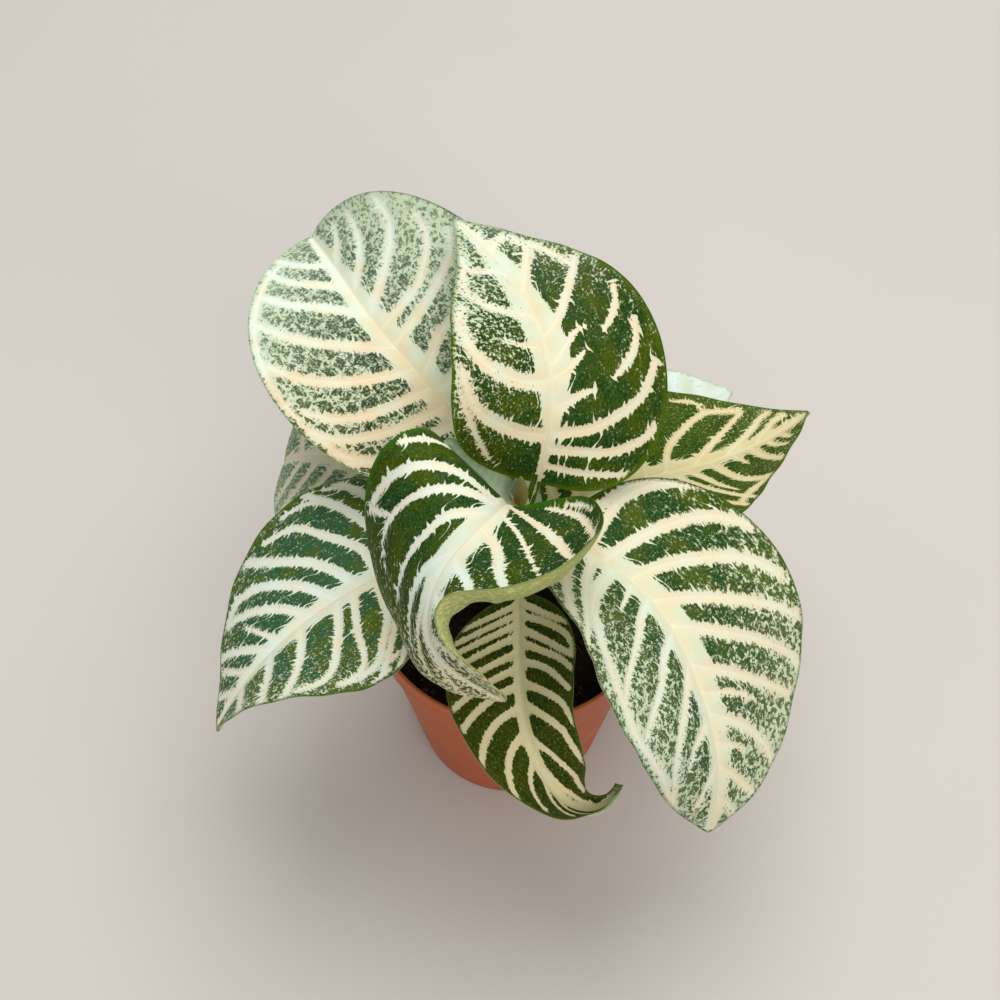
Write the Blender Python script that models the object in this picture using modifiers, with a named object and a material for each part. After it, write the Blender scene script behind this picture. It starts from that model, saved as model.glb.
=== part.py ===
"""A young zebra plant in the round plastic nursery pot that it grows in.

Metres, +Z up. The origin is the centre of the pot's flat base, on the surface that it stands on, and -Y is the
front. The leaves grow in opposite pairs from the swollen nodes of one upright stem. Every leaf follows one law:
a midrib that bends from the stem to the tip, a half width on each side of it, and a folded, curled section.
"""

import math

import bmesh
import bpy
import numpy as np

# The pot and the soil
POT_HEIGHT = 0.075
MOUTH_RADIUS = 0.0425
BASE_RADIUS = 0.030
POT_WALL = 0.0012
POT_FLOOR = 0.0016
BAND_HEIGHT = 0.009
BAND_STEP = 0.0014
BAND_TAPER = 0.0005
CORNER_ROUND = 0.0015
DRAIN_COUNT = 6
DRAIN_RADIUS = 0.003
DRAIN_CIRCLE = 0.019
SOIL_TOP = 0.063
SOIL_LUMPS = 0.0010
SOIL_RINGS = 5

# Waves that add up to the soil's lumps: radians for each metre along X and along Y, and a phase
SOIL_WAVES = ((310, 0, 0.9), (170, 270, 0.0), (-210, 430, 2.0))

# The stem and its growing tip
STEM_X = 0.002
STEM_RADIUS = 0.0025
NODE_RADIUS = 0.0030
NODE_SWELL = 0.0025
STEM_TOP = 0.124
STEM_SUNK = 0.015
BUD_HEIGHT = 0.0115
BUD_RADIUS = 0.0022

# The leaves' blades, ribs and stalks
BLADE_THICKNESS = 0.0009
RIB_THICKNESS = 0.0022
RIB_REACH = 0.0015
STALK_HALF_WIDTH = 0.0012
STALK_SHARE = 0.08

# How much of the stalk's width and of the rib's thickness is lost on the way to the tip
STALK_TAPER = 0.6
RIB_TAPER = 0.5

# Pieces that touch keep this space between their meshes
SEAT_GAP = 0.0003

# Cells in the meshes
TURN_STEPS = 48
LEAF_ROWS = 22
LEAF_COLUMNS = 8
FINE_STEPS = 4
FINE_HALF = 40

# Each leaf has the mean colour of its cream and green, the height of its node, its length along the midrib and
# its two half widths. Shape says how fast the width grows from the stalk and how fast it shrinks to the tip. The
# rest are angles in degrees at even stations from the stem to the tip: pitch is the midrib's rise, head its
# compass direction from +X, and roll its lean to the left. Fold lifts each half of the blade at the midrib, and
# curl lifts it more towards the margin.
LEAVES = {
    "leaf_back": {
        "colour": (0.42, 0.45, 0.24),
        "node": 0.120, "length": 0.099, "left": 0.030, "right": 0.030, "shape": (0.45, 1.0),
        "pitch": (75, 45, 10, 0, 20), "head": (40, 80, 105, 120, 140), "roll": (30, 10, 10),
        "fold_left": (10, 15, 0), "fold_right": (0, 20, 0), "curl_left": (10, 0), "curl_right": (0, 20, 0),
    },
    "leaf_front_curled": {
        "colour": (0.4, 0.45, 0.28),
        "node": 0.120, "length": 0.099, "left": 0.036, "right": 0.032, "shape": (0.7, 1.0),
        "rows": 28, "pitch": (85, 55, 25, -15, -25, -25, -45), "head": (235, 260, 240, 230, 265, 330, 355),
        "roll": (0, -25, -20, 5, 50, 80, 95),
        "fold_left": (10, 5, -5, 10, 15), "fold_right": (5, 10, 0, -10, 0),
        "curl_left": (75, 105, 115, 55, 0), "curl_right": (5, -5, -15, -25, 0),
    },
    "leaf_back_left": {
        "colour": (0.58, 0.62, 0.46),
        "node": 0.112, "length": 0.114, "left": 0.037, "right": 0.040, "shape": (0.65, 0.6),
        "pitch": (35, 10, -10), "head": (115, 130, 130, 120, 120), "roll": (-10, -10, -20),
        "fold_left": (0, 5, 20), "fold_right": (5, 5, 30),
        "curl_left": (-10, -10, 10), "curl_right": (-5, -5, 10),
    },
    "leaf_front_right": {
        "colour": (0.52, 0.55, 0.38),
        "node": 0.112, "length": 0.113, "left": 0.038, "right": 0.036, "shape": (0.7, 0.9),
        "pitch": (40, -5, -25, -40, -65), "head": (320, 325, 300, 285, 245), "roll": (0, -15, -35),
        "fold_left": (25, 10, -10), "fold_right": (20, 15, 5),
        "curl_left": (10, 5, -5), "curl_right": (15, 10, -10),
    },
    "leaf_right": {
        "colour": (0.36, 0.36, 0.17),
        "node": 0.104, "length": 0.103, "left": 0.031, "right": 0.029, "shape": (0.75, 1.05),
        "pitch": (20, -10, -20, 0, 20), "head": (40, 30, 30, 25, 35), "roll": (0, -5, -15),
        "fold_left": (10, 15), "fold_right": (10, 20), "curl_left": (5, 10), "curl_right": (5, 5, 20),
    },
    "leaf_left": {
        "colour": (0.38, 0.48, 0.36),
        "node": 0.104, "length": 0.105, "left": 0.033, "right": 0.035, "shape": (0.8, 0.95),
        "pitch": (35, -15, -20, -25, -40), "head": (195, 195, 205, 220, 235), "roll": (5, 5, 45),
        "fold_left": (10, 5, 15), "fold_right": (5, 10, 5), "curl_left": (5, 10), "curl_right": (-5, -5),
    },
    "leaf_front_low": {
        "colour": (0.15, 0.14, 0.06),
        "node": 0.093, "length": 0.093, "left": 0.018, "right": 0.020, "shape": (0.7, 1.4),
        "pitch": (5, -5, -10, -45, 15), "head": (270, 270, 280, 330, 430), "roll": (5, 10, -15),
        "fold_left": (10, 35, 40), "fold_right": (-5, 25, 55),
        "curl_left": (-5, 5, 20), "curl_right": (-10, 15, 35),
    },
    "leaf_left_low": {
        "colour": (0.32, 0.36, 0.22),
        "node": 0.093, "length": 0.094, "left": 0.031, "right": 0.030, "shape": (0.7, 0.6),
        "pitch": (30, -10, -50), "head": (145, 150), "roll": (-5, -20),
        "fold_left": (5, 5), "fold_right": (5, 10), "curl_left": (0, -5), "curl_right": (0, 5),
    },
    "leaf_right_low": {
        "colour": (0.5, 0.56, 0.42),
        "node": 0.084, "length": 0.102, "left": 0.028, "right": 0.027, "shape": (0.7, 0.9),
        "pitch": (25, 0, -10, -5, 5), "head": (65, 60, 50, 30, 20), "roll": (0, -5),
        "fold_left": (5, 15), "fold_right": (10, 15), "curl_left": (0, 0), "curl_right": (0, 5),
    },
    "young_leaf": {
        "colour": (0.48, 0.6, 0.38),
        "node": 0.120, "length": 0.026, "left": 0.005, "right": 0.005, "shape": (0.6, 0.8),
        "rows": 12, "columns": 4, "pitch": (50, 40, 35), "head": (150, 150), "roll": (0, -10),
        "fold_left": (0, 60, 60), "fold_right": (0, 60, 60), "curl_left": (10, 10), "curl_right": (10, 10),
    },
}


def clear_scene():
    for old in list(bpy.data.objects):
        bpy.data.objects.remove(old)


def collection(name):
    made = bpy.data.collections.new(name)
    bpy.context.scene.collection.children.link(made)
    return made


def material(name, colour, roughness, metallic=0.0):
    made = bpy.data.materials.new(name)
    made.use_nodes = True
    shader = made.node_tree.nodes["Principled BSDF"]
    shader.inputs["Base Color"].default_value = (*colour, 1.0)
    shader.inputs["Roughness"].default_value = roughness
    shader.inputs["Metallic"].default_value = metallic
    return made


def add_object(name, data, finish, group):
    made = bpy.data.objects.new(name, data)
    group.objects.link(made)
    if finish is not None:
        data.materials.append(finish)
    return made


def mesh_from(name, bm):
    """Turns a finished bmesh into a smoothly shaded mesh and frees it."""
    data = bpy.data.meshes.new(name)
    bm.to_mesh(data)
    bm.free()
    data.shade_smooth()
    return data


def baked(made):
    """The object with its modifiers, or its curve's tube, turned into a plain closed mesh in the same place."""
    bpy.context.view_layer.update()
    graph = bpy.context.evaluated_depsgraph_get()
    data = bpy.data.meshes.new_from_object(made.evaluated_get(graph))
    bm = bmesh.new()
    bm.from_mesh(data)
    bmesh.ops.remove_doubles(bm, verts=bm.verts, dist=1e-6)
    bm.to_mesh(data)
    bm.free()
    name = made.name
    group = made.users_collection[0]
    bpy.data.objects.remove(made)
    plain = bpy.data.objects.new(name, data)
    group.objects.link(plain)
    return plain


def turned(name, profile, finish, group, steps=TURN_STEPS):
    """A profile of (radius, height) points at +X, turned about the Z axis."""
    bm = bmesh.new()
    points = [bm.verts.new((radius, 0.0, height)) for radius, height in profile]
    for start, end in zip(points, points[1:]):
        bm.edges.new((start, end))
    made = add_object(name, mesh_from(name, bm), finish, group)
    screw = made.modifiers.new("turn", "SCREW")
    screw.axis = "Z"
    screw.steps = steps
    screw.render_steps = steps
    screw.use_merge_vertices = True
    screw.merge_threshold = 0.00005
    return made


def arc(radius, height, size, start, end, pieces=3):
    """Points of a quarter or half round about (radius, height), by angles in degrees from +X."""
    return [
        (radius + size * math.cos(math.radians(angle)), height + size * math.sin(math.radians(angle)))
        for angle in np.linspace(start, end, pieces + 1)
    ]


def cut(made, cutter):
    boolean = made.modifiers.new(cutter.name, "BOOLEAN")
    boolean.operation = "DIFFERENCE"
    boolean.solver = "EXACT"
    boolean.object = cutter


def drill(name, radius, low, high, x, y, group, sides=24):
    """A hidden upright cylinder that cuts a round hole."""
    bm = bmesh.new()
    bmesh.ops.create_cone(
        bm, cap_ends=True, segments=sides, radius1=radius, radius2=radius, depth=high - low
    )
    made = add_object(name, mesh_from(name, bm), None, group)
    made.location = (x, y, (high + low) / 2)
    made.hide_render = True
    made.display_type = "WIRE"
    return made


def wall_radius(height):
    """The outer radius of the tapered wall below the rim band."""
    share = height / (POT_HEIGHT - BAND_HEIGHT)
    return BASE_RADIUS + (MOUTH_RADIUS - BAND_TAPER - BAND_STEP - BASE_RADIUS) * share


def make_pot(group, cutters):
    """A thin tapered wall, a stepped band below the rounded rim, and a flat floor with drainage holes."""
    band_low = POT_HEIGHT - BAND_HEIGHT
    lip = POT_WALL / 2
    inner_corner = wall_radius(POT_FLOOR + CORNER_ROUND) - POT_WALL - CORNER_ROUND
    outer_corner = wall_radius(CORNER_ROUND) - CORNER_ROUND
    profile = [(0.0, POT_FLOOR)]
    profile += arc(inner_corner, POT_FLOOR + CORNER_ROUND, CORNER_ROUND, -90, 0)
    profile += [(wall_radius(band_low) - POT_WALL, band_low - POT_WALL / 2)]
    profile += [(MOUTH_RADIUS - BAND_TAPER - POT_WALL, band_low + POT_WALL / 2)]
    profile += arc(MOUTH_RADIUS - lip, POT_HEIGHT - lip, lip, 180, 0, pieces=4)
    profile += [(MOUTH_RADIUS - BAND_TAPER, band_low), (wall_radius(band_low), band_low)]
    profile += arc(outer_corner, CORNER_ROUND, CORNER_ROUND, 0, -90)
    profile += [(0.0, 0.0)]
    finish = material("terracotta_plastic", (0.30, 0.065, 0.028), 0.4)
    pot = turned("pot", profile, finish, group)
    for number in range(DRAIN_COUNT):
        angle = 2 * math.pi * number / DRAIN_COUNT
        hole = drill(
            f"drain_cutter_{number}",
            DRAIN_RADIUS,
            -POT_FLOOR,
            3 * POT_FLOOR,
            DRAIN_CIRCLE * math.cos(angle),
            DRAIN_CIRCLE * math.sin(angle),
            cutters,
            sides=16,
        )
        cut(pot, hole)
    return pot


def make_soil(group, cutters):
    """Potting soil that fills the pot, with a gently lumpy top and a plain hole for the stem."""
    low = POT_FLOOR + SEAT_GAP
    top_radius = wall_radius(SOIL_TOP) - POT_WALL - SEAT_GAP
    corner = wall_radius(low + CORNER_ROUND) - POT_WALL - SEAT_GAP - CORNER_ROUND
    profile = [(top_radius * ring / SOIL_RINGS, SOIL_TOP) for ring in range(SOIL_RINGS + 1)]
    profile += arc(corner, low + CORNER_ROUND, CORNER_ROUND, 0, -90)
    profile += [(0.0, low)]
    finish = material("potting_soil", (0.022, 0.014, 0.009), 0.95)
    soil = baked(turned("soil", profile, finish, group))
    bm = bmesh.new()
    bm.from_mesh(soil.data)
    bmesh.ops.triangulate(bm, faces=bm.faces)
    for point in bm.verts:
        if point.co.z > SOIL_TOP - SEAT_GAP:
            waves = [math.sin(east * point.co.x + north * point.co.y + phase) for east, north, phase in SOIL_WAVES]
            point.co.z += SOIL_LUMPS * sum(waves) / len(waves)
    bm.to_mesh(soil.data)
    bm.free()
    hole = drill(
        "stem_hole_cutter",
        NODE_RADIUS + SEAT_GAP,
        SOIL_TOP - STEM_SUNK - SEAT_GAP,
        SOIL_TOP + STEM_SUNK,
        STEM_X,
        0.0,
        cutters,
    )
    cut(soil, hole)
    return soil


def make_stem(group):
    """One upright green stem, swollen at each pair of leaves, with its foot in the soil."""
    foot = SOIL_TOP - STEM_SUNK
    stations = {foot: STEM_RADIUS, STEM_TOP: STEM_RADIUS}
    for leaf in LEAVES.values():
        node = leaf["node"]
        stations[node - NODE_SWELL] = STEM_RADIUS
        stations[node - NODE_SWELL / 3] = NODE_RADIUS
        stations[node + NODE_SWELL / 3] = NODE_RADIUS
        stations[node + NODE_SWELL] = STEM_RADIUS
    heights = sorted(height for height in stations if foot <= height <= STEM_TOP)
    curve = bpy.data.curves.new("stem", "CURVE")
    curve.dimensions = "3D"
    curve.bevel_depth = 1.0
    curve.bevel_resolution = 2
    curve.use_fill_caps = True
    line = curve.splines.new("POLY")
    line.points.add(len(heights) - 1)
    for point, height in zip(line.points, heights):
        point.co = (STEM_X, 0.0, height, 1.0)
        point.radius = stations[height]
    return add_object("stem", curve, material("green_stem", (0.10, 0.17, 0.045), 0.5), group)


def make_bud(group):
    """The closed growing tip on top of the stem: a small pointed bud of two leaves still pressed together."""
    profile = [
        (0.0, BUD_HEIGHT),
        (0.22 * BUD_RADIUS, 0.95 * BUD_HEIGHT),
        (0.55 * BUD_RADIUS, 0.75 * BUD_HEIGHT),
        (0.88 * BUD_RADIUS, 0.50 * BUD_HEIGHT),
        (BUD_RADIUS, 0.25 * BUD_HEIGHT),
        (0.9 * BUD_RADIUS, 0.05 * BUD_HEIGHT),
        (0.8 * BUD_RADIUS, 0.0),
        (0.0, 0.0),
    ]
    bud = turned("bud", profile, material("bud_skin", (0.22, 0.17, 0.07), 0.45), group, steps=16)
    bud.location = (STEM_X, 0.0, STEM_TOP + SEAT_GAP)
    return bud


def along(values, share):
    """A smooth line through values at even stations, read at shares of its length from 0 to 1."""
    values = np.array([2 * values[0] - values[1], *values, 2 * values[-1] - values[-2]], dtype=float)
    place = np.asarray(share) * (len(values) - 3)
    first = np.clip(np.floor(place).astype(int), 0, len(values) - 4)
    part = place - first
    before, start, end, after = (values[first + step] for step in range(4))
    slope = end - before
    bend = 2 * before - 5 * start + 4 * end - after
    twist = 3 * (start - end) + after - before
    return start + 0.5 * part * (slope + part * (bend + part * twist))


def leaf_surface(leaf, rows, columns):
    """Points of a leaf's upper face, and their distances from the midrib.

    The rows run from the stem to the tip and the columns from the right margin to the left. The midrib is
    summed from short steps along its pitch and head. Each half of a row is summed from short steps that leave
    the midrib at the fold angle and turn by the curl angle on the way to the margin.
    """
    fine = FINE_STEPS * rows
    share = np.linspace(0.0, 1.0, fine + 1)
    middle = (share[1:] + share[:-1]) / 2
    pitch = np.radians(along(leaf["pitch"], middle))
    head = np.radians(along(leaf["head"], middle))
    step = np.stack([np.cos(pitch) * np.cos(head), np.cos(pitch) * np.sin(head), np.sin(pitch)], axis=1)
    first_head = math.radians(leaf["head"][0])
    out = NODE_RADIUS + SEAT_GAP
    root = np.array([STEM_X + out * math.cos(first_head), out * math.sin(first_head), leaf["node"]])
    steps = np.vstack([np.zeros(3), np.cumsum(step * leaf["length"] / fine, axis=0)])
    rib = (root + steps)[::FINE_STEPS]

    share = share[::FINE_STEPS]
    pitch = np.radians(along(leaf["pitch"], share))
    head = np.radians(along(leaf["head"], share))
    roll = np.radians(along(leaf["roll"], share))[:, None]
    level = np.stack([-np.sin(head), np.cos(head), np.zeros(rows + 1)], axis=1)
    normal = np.stack([-np.sin(pitch) * np.cos(head), -np.sin(pitch) * np.sin(head), np.cos(pitch)], axis=1)
    side = level * np.cos(roll) + normal * np.sin(roll)
    up = normal * np.cos(roll) - level * np.sin(roll)

    grow, shrink = leaf["shape"]
    blade = np.clip((share - STALK_SHARE) / (1 - STALK_SHARE), 0.0, 1.0)
    peak = grow / (grow + shrink)
    form = blade**grow * (1 - blade)**shrink / (peak**grow * (1 - peak)**shrink)
    stalk = STALK_HALF_WIDTH * (1 - STALK_TAPER * share)

    spread = np.linspace(-1.0, 1.0, columns + 1)
    spread = spread * np.sqrt(np.abs(spread))
    places = np.round(np.abs(spread) * FINE_HALF).astype(int)
    points = np.empty((rows + 1, columns + 1, 3))
    reach = np.empty((rows + 1, columns + 1))
    between = (np.arange(FINE_HALF) + 0.5) / FINE_HALF
    for sign, name in ((-1, "right"), (1, "left")):
        width = stalk + leaf[name] * form
        fold = along(leaf["fold_" + name], share)[:, None]
        curl = along(leaf["curl_" + name], share)[:, None]
        angle = np.radians(fold + curl * between**2)
        start = np.zeros((rows + 1, 1))
        out = np.hstack([start, np.cumsum(np.cos(angle), axis=1)]) * width[:, None] / FINE_HALF
        lift = np.hstack([start, np.cumsum(np.sin(angle), axis=1)]) * width[:, None] / FINE_HALF
        half = np.flatnonzero(spread * sign >= 0)
        out, lift = out[:, places[half]], lift[:, places[half]]
        points[:, half] = rib[:, None] + sign * side[:, None] * out[..., None] + up[:, None] * lift[..., None]
        reach[:, half] = np.hypot(out, lift)
    return points, reach


def make_leaf(name, leaf, group):
    """A thin blade on the leaf law's surface, thicker along its midrib and its short stalk."""
    finish = material(name + "_blade", leaf["colour"], 0.35)
    rows, columns = leaf.get("rows", LEAF_ROWS), leaf.get("columns", LEAF_COLUMNS)
    points, reach = leaf_surface(leaf, rows, columns)
    bm = bmesh.new()
    bmesh.ops.create_grid(bm, x_segments=columns, y_segments=rows, size=1.0)
    layer = bm.verts.layers.deform.verify()
    for point in bm.verts:
        column = round((1 - point.co.x) / 2 * columns)
        row = round((point.co.y + 1) / 2 * rows)
        rib = math.exp(-((reach[row, column] / RIB_REACH) ** 2)) * (1 - RIB_TAPER * row / rows)
        point.co = points[row, column]
        point[layer][0] = rib
    bmesh.ops.triangulate(bm, faces=bm.faces)
    made = add_object(name, mesh_from(name, bm), finish, group)
    made.vertex_groups.new(name="midrib")
    shell = made.modifiers.new("blade", "SOLIDIFY")
    shell.thickness = RIB_THICKNESS
    shell.offset = -1.0
    shell.vertex_group = "midrib"
    shell.thickness_vertex_group = BLADE_THICKNESS / RIB_THICKNESS
    return made


def main():
    clear_scene()
    plant = collection("potted_zebra_plant")
    cutters = collection("cutters")
    make_pot(plant, cutters)
    make_soil(plant, cutters)
    make_stem(plant)
    make_bud(plant)
    for name, leaf in LEAVES.items():
        make_leaf(name, leaf, plant)


main()
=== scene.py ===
"""A young zebra plant in the round plastic nursery pot that it is sold in.

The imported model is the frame. Every piece below is built in its place, in metres, and rides on the one body.
"""

import math

import bmesh
import bpy
import numpy as np
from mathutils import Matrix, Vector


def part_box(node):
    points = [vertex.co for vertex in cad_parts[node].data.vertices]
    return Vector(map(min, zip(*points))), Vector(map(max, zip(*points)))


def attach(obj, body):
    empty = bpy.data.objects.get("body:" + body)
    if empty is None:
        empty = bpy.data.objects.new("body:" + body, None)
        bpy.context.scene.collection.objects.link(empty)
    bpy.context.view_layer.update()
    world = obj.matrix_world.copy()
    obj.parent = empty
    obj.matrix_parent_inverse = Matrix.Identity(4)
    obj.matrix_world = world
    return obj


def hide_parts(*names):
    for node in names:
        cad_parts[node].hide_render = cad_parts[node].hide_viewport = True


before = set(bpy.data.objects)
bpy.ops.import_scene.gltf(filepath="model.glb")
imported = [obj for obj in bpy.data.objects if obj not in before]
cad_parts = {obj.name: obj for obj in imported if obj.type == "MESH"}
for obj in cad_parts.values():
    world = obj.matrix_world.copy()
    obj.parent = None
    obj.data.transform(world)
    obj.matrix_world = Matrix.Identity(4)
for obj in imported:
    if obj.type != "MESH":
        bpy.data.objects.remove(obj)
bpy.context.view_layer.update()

# The pot
# A round nursery pot of red-brown polypropylene, injection moulded in one piece. Its thin wall tapers to a flat
# base with six drainage holes, and a stepped band below the rounded lip stiffens the mouth.

POT_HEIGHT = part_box("pot")[1].z
MOUTH_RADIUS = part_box("pot")[1].x
BASE_RADIUS = 0.030
POT_WALL = 0.0012
POT_FLOOR = 0.0016
FLOOR_RINGS = (0.0, 0.012, 0.025)
BASE_RINGS = (0.026, 0.012, 0.0)
BAND_HEIGHT = 0.009
BAND_STEP = 0.0014
BAND_TAPER = 0.0005
CORNER_ROUND = 0.0015
EDGE_ROUND = 0.0003
DRAIN_COUNT = 6
DRAIN_RADIUS = 0.003
DRAIN_CIRCLE = 0.019
DRAIN_STEPS = 32
POT_TURN_STEPS = 160
POT_CREASE = math.radians(50)


def linear(code):
    """An sRGB hex colour such as "#aabbcc" as linear red, green, blue and alpha."""
    parts = np.array([int(code[at:at + 2], 16) for at in (1, 3, 5)]) / 255
    parts = np.where(parts <= 0.04045, parts / 12.92, ((parts + 0.055) / 1.055) ** 2.4)
    return (*parts.tolist(), 1.0)


def feed(node, settings):
    """Sets a node by name or number of its sockets: another node's output is linked, a constant is set, and a hex
    colour turns linear. Any other name is an option of the node."""
    for name, value in settings.items():
        if isinstance(value, bpy.types.NodeSocket):
            node.id_data.links.new(value, node.inputs[name])
        elif isinstance(name, int) or name in node.inputs:
            node.inputs[name].default_value = linear(value) if isinstance(value, str) else value
        else:
            setattr(node, name, value)


def new_material(name):
    """An empty node material, with the function that adds its nodes, and with its principled shader."""
    made = bpy.data.materials.new(name)
    made.use_nodes = True

    def add(kind, settings, out=0):
        """Adds a node with its settings and links, and gives one of its outputs."""
        node = made.node_tree.nodes.new("ShaderNode" + kind)
        feed(node, settings)
        return node.outputs[out]

    return made, add, made.node_tree.nodes["Principled BSDF"]


def turned(profile, steps):
    """A profile of radius r and height z carried round the Z axis: each point is (r cos a, r sin a, z) at even
    angles a."""
    angle = np.linspace(0, 2 * np.pi, steps, endpoint=False)
    radius, height = np.array(profile, dtype=float).T
    across = np.outer(radius, np.cos(angle))
    away = np.outer(radius, np.sin(angle))
    return np.stack([across, away, np.repeat(height[:, None], steps, axis=1)], axis=-1)


def sheet_faces(rows, columns, joined=False):
    """Quads of a grid of points numbered row by row. A joined grid closes on itself from column to column."""
    number = np.arange(rows * columns).reshape(rows, columns)
    if joined:
        number = np.hstack([number, number[:, :1]])
    low, high = number[:-1], number[1:]
    return np.stack([low[:, :-1], low[:, 1:], high[:, 1:], high[:, :-1]], axis=-1).reshape(-1, 4)


def merge_doubles(data):
    """Joins the points of a mesh that lie together, as at a pole, and turns its faces outwards."""
    bm = bmesh.new()
    bm.from_mesh(data)
    bmesh.ops.remove_doubles(bm, verts=bm.verts, dist=1e-7)
    bmesh.ops.recalc_face_normals(bm, faces=bm.faces)
    bm.to_mesh(data)
    bm.free()


def make_piece(name, points, faces, finish, slot, layers=None, merge=False):
    """A smooth mesh object from points and faces, with named layers of three numbers on its points, which stands
    for the CAD node of the same name."""
    data = bpy.data.meshes.new(name)
    flat = np.ascontiguousarray(points, dtype=np.float32).reshape(-1)
    data.vertices.add(len(flat) // 3)
    data.vertices.foreach_set("co", flat)
    data.loops.add(faces.size)
    data.loops.foreach_set("vertex_index", faces.astype(np.int32).reshape(-1))
    data.polygons.add(len(faces))
    data.polygons.foreach_set("loop_start", np.arange(0, faces.size, faces.shape[1], dtype=np.int32))
    data.update(calc_edges=True)
    for layer, values in (layers or {}).items():
        made = data.attributes.new(layer, "FLOAT_VECTOR", "POINT")
        made.data.foreach_set("vector", np.ascontiguousarray(values, dtype=np.float32).reshape(-1))
    if merge:
        merge_doubles(data)
    data.validate()
    data.shade_smooth()
    data.materials.append(finish)
    piece = bpy.data.objects.new(name + "_dressed", data)
    bpy.context.scene.collection.objects.link(piece)
    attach(piece, "root")
    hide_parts(name)
    return piece


def arc(radius, height, size, start, end, pieces=4):
    """Points of a round about (radius, height), by angles in degrees from the outward level."""
    angles = np.radians(np.linspace(start, end, pieces + 1))
    return [(radius + size * math.cos(a), height + size * math.sin(a)) for a in angles]


def wall_radius(height):
    """The outer radius of the tapered wall below the band."""
    share = height / (POT_HEIGHT - BAND_HEIGHT)
    return BASE_RADIUS + (MOUTH_RADIUS - BAND_TAPER - BAND_STEP - BASE_RADIUS) * share


def pot_profile():
    """The closed section of the pot, from the middle of the inner floor over the lip to the middle of the base."""
    band = POT_HEIGHT - BAND_HEIGHT
    lip = POT_WALL / 2
    under = wall_radius(band)
    outer = MOUTH_RADIUS - BAND_TAPER
    inner_corner = wall_radius(POT_FLOOR + CORNER_ROUND) - POT_WALL - CORNER_ROUND
    outer_corner = wall_radius(CORNER_ROUND) - CORNER_ROUND
    profile = [(radius, POT_FLOOR) for radius in FLOOR_RINGS]
    profile += arc(inner_corner, POT_FLOOR + CORNER_ROUND, CORNER_ROUND, -90, 0)
    profile += [(wall_radius(height) - POT_WALL, height) for height in np.linspace(0.006, band - POT_WALL, 8)]
    profile += [(outer - POT_WALL, band + POT_WALL / 2), (outer - POT_WALL + 0.0001, band + 0.003)]
    profile += arc(MOUTH_RADIUS - lip, POT_HEIGHT - lip, lip, 180, 0, pieces=8)
    profile += [(MOUTH_RADIUS - BAND_TAPER * 0.4, POT_HEIGHT - 0.0035)]
    profile += arc(outer - EDGE_ROUND, band + EDGE_ROUND, EDGE_ROUND, 0, -90, pieces=3)
    profile += [(under + EDGE_ROUND, band), (under, band - EDGE_ROUND)]
    profile += [(wall_radius(height), height) for height in np.linspace(band - 0.004, 0.004, 8)]
    profile += arc(outer_corner, CORNER_ROUND, CORNER_ROUND, 0, -90)
    profile += [(radius, 0.0) for radius in BASE_RINGS]
    return profile


def moulded_polypropylene():
    """Moulded polypropylene in terracotta red: satin, a little paler where water has dried and hands have rubbed,
    with the faint upright flow lines of the mould."""
    made, add, shader = new_material("moulded_polypropylene_terracotta")
    place = add("TexCoord", {}, "Object")
    cloud = add("TexNoise", {"Scale": 55.0, "Detail": 3.0, "Roughness": 0.6, "Vector": place})
    stretched = add("Mapping", {"Scale": (420.0, 420.0, 30.0), "Vector": place})
    flow = add("TexNoise", {"Scale": 1.0, "Detail": 2.0, "Vector": stretched})
    height = add("SeparateXYZ", {"Vector": place}, "Z")
    rim = add("MapRange", {"From Min": 0.0700, "From Max": 0.0752, "To Max": 0.45, "Value": height})
    rubbed = add("Math", {"operation": "MULTIPLY", 0: rim, 1: cloud})
    body = add("Mix", {"data_type": "RGBA", 0: cloud, 6: "#ae4812", 7: "#c25c1e"}, 2)
    dusty = add("Mix", {"data_type": "RGBA", 0: rubbed, 6: body, 7: "#cc8650"}, 2)
    gloss = {"From Min": 0.3, "From Max": 0.7, "To Min": 0.34, "To Max": 0.52, "Value": cloud}
    feed(shader, {
        "Base Color": dusty, "IOR": 1.49, "Roughness": add("MapRange", gloss),
        "Normal": add("Bump", {"Strength": 0.25, "Distance": 0.0001, "Height": flow}),
    })
    return made


def drain_cutter():
    """Short upright tubes on a circle, joined in one mesh: they cut the drainage holes."""
    tube = turned([(0.0, -0.002), (DRAIN_RADIUS, -0.002), (DRAIN_RADIUS, 0.004), (0.0, 0.004)], DRAIN_STEPS)
    angle = np.arange(DRAIN_COUNT) * 2 * np.pi / DRAIN_COUNT
    shift = np.stack([DRAIN_CIRCLE * np.cos(angle), DRAIN_CIRCLE * np.sin(angle), 0 * angle], axis=-1)
    points = tube[None] + shift[:, None, None]
    faces = sheet_faces(len(tube), DRAIN_STEPS, joined=True)
    faces = np.concatenate([faces + number * len(tube) * DRAIN_STEPS for number in range(DRAIN_COUNT)])
    data = bpy.data.meshes.new("drain_cutter")
    data.from_pydata(points.reshape(-1, 3).tolist(), [], faces.tolist())
    merge_doubles(data)
    cutter = bpy.data.objects.new("drain_cutter", data)
    bpy.context.scene.collection.objects.link(cutter)
    return cutter


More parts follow.
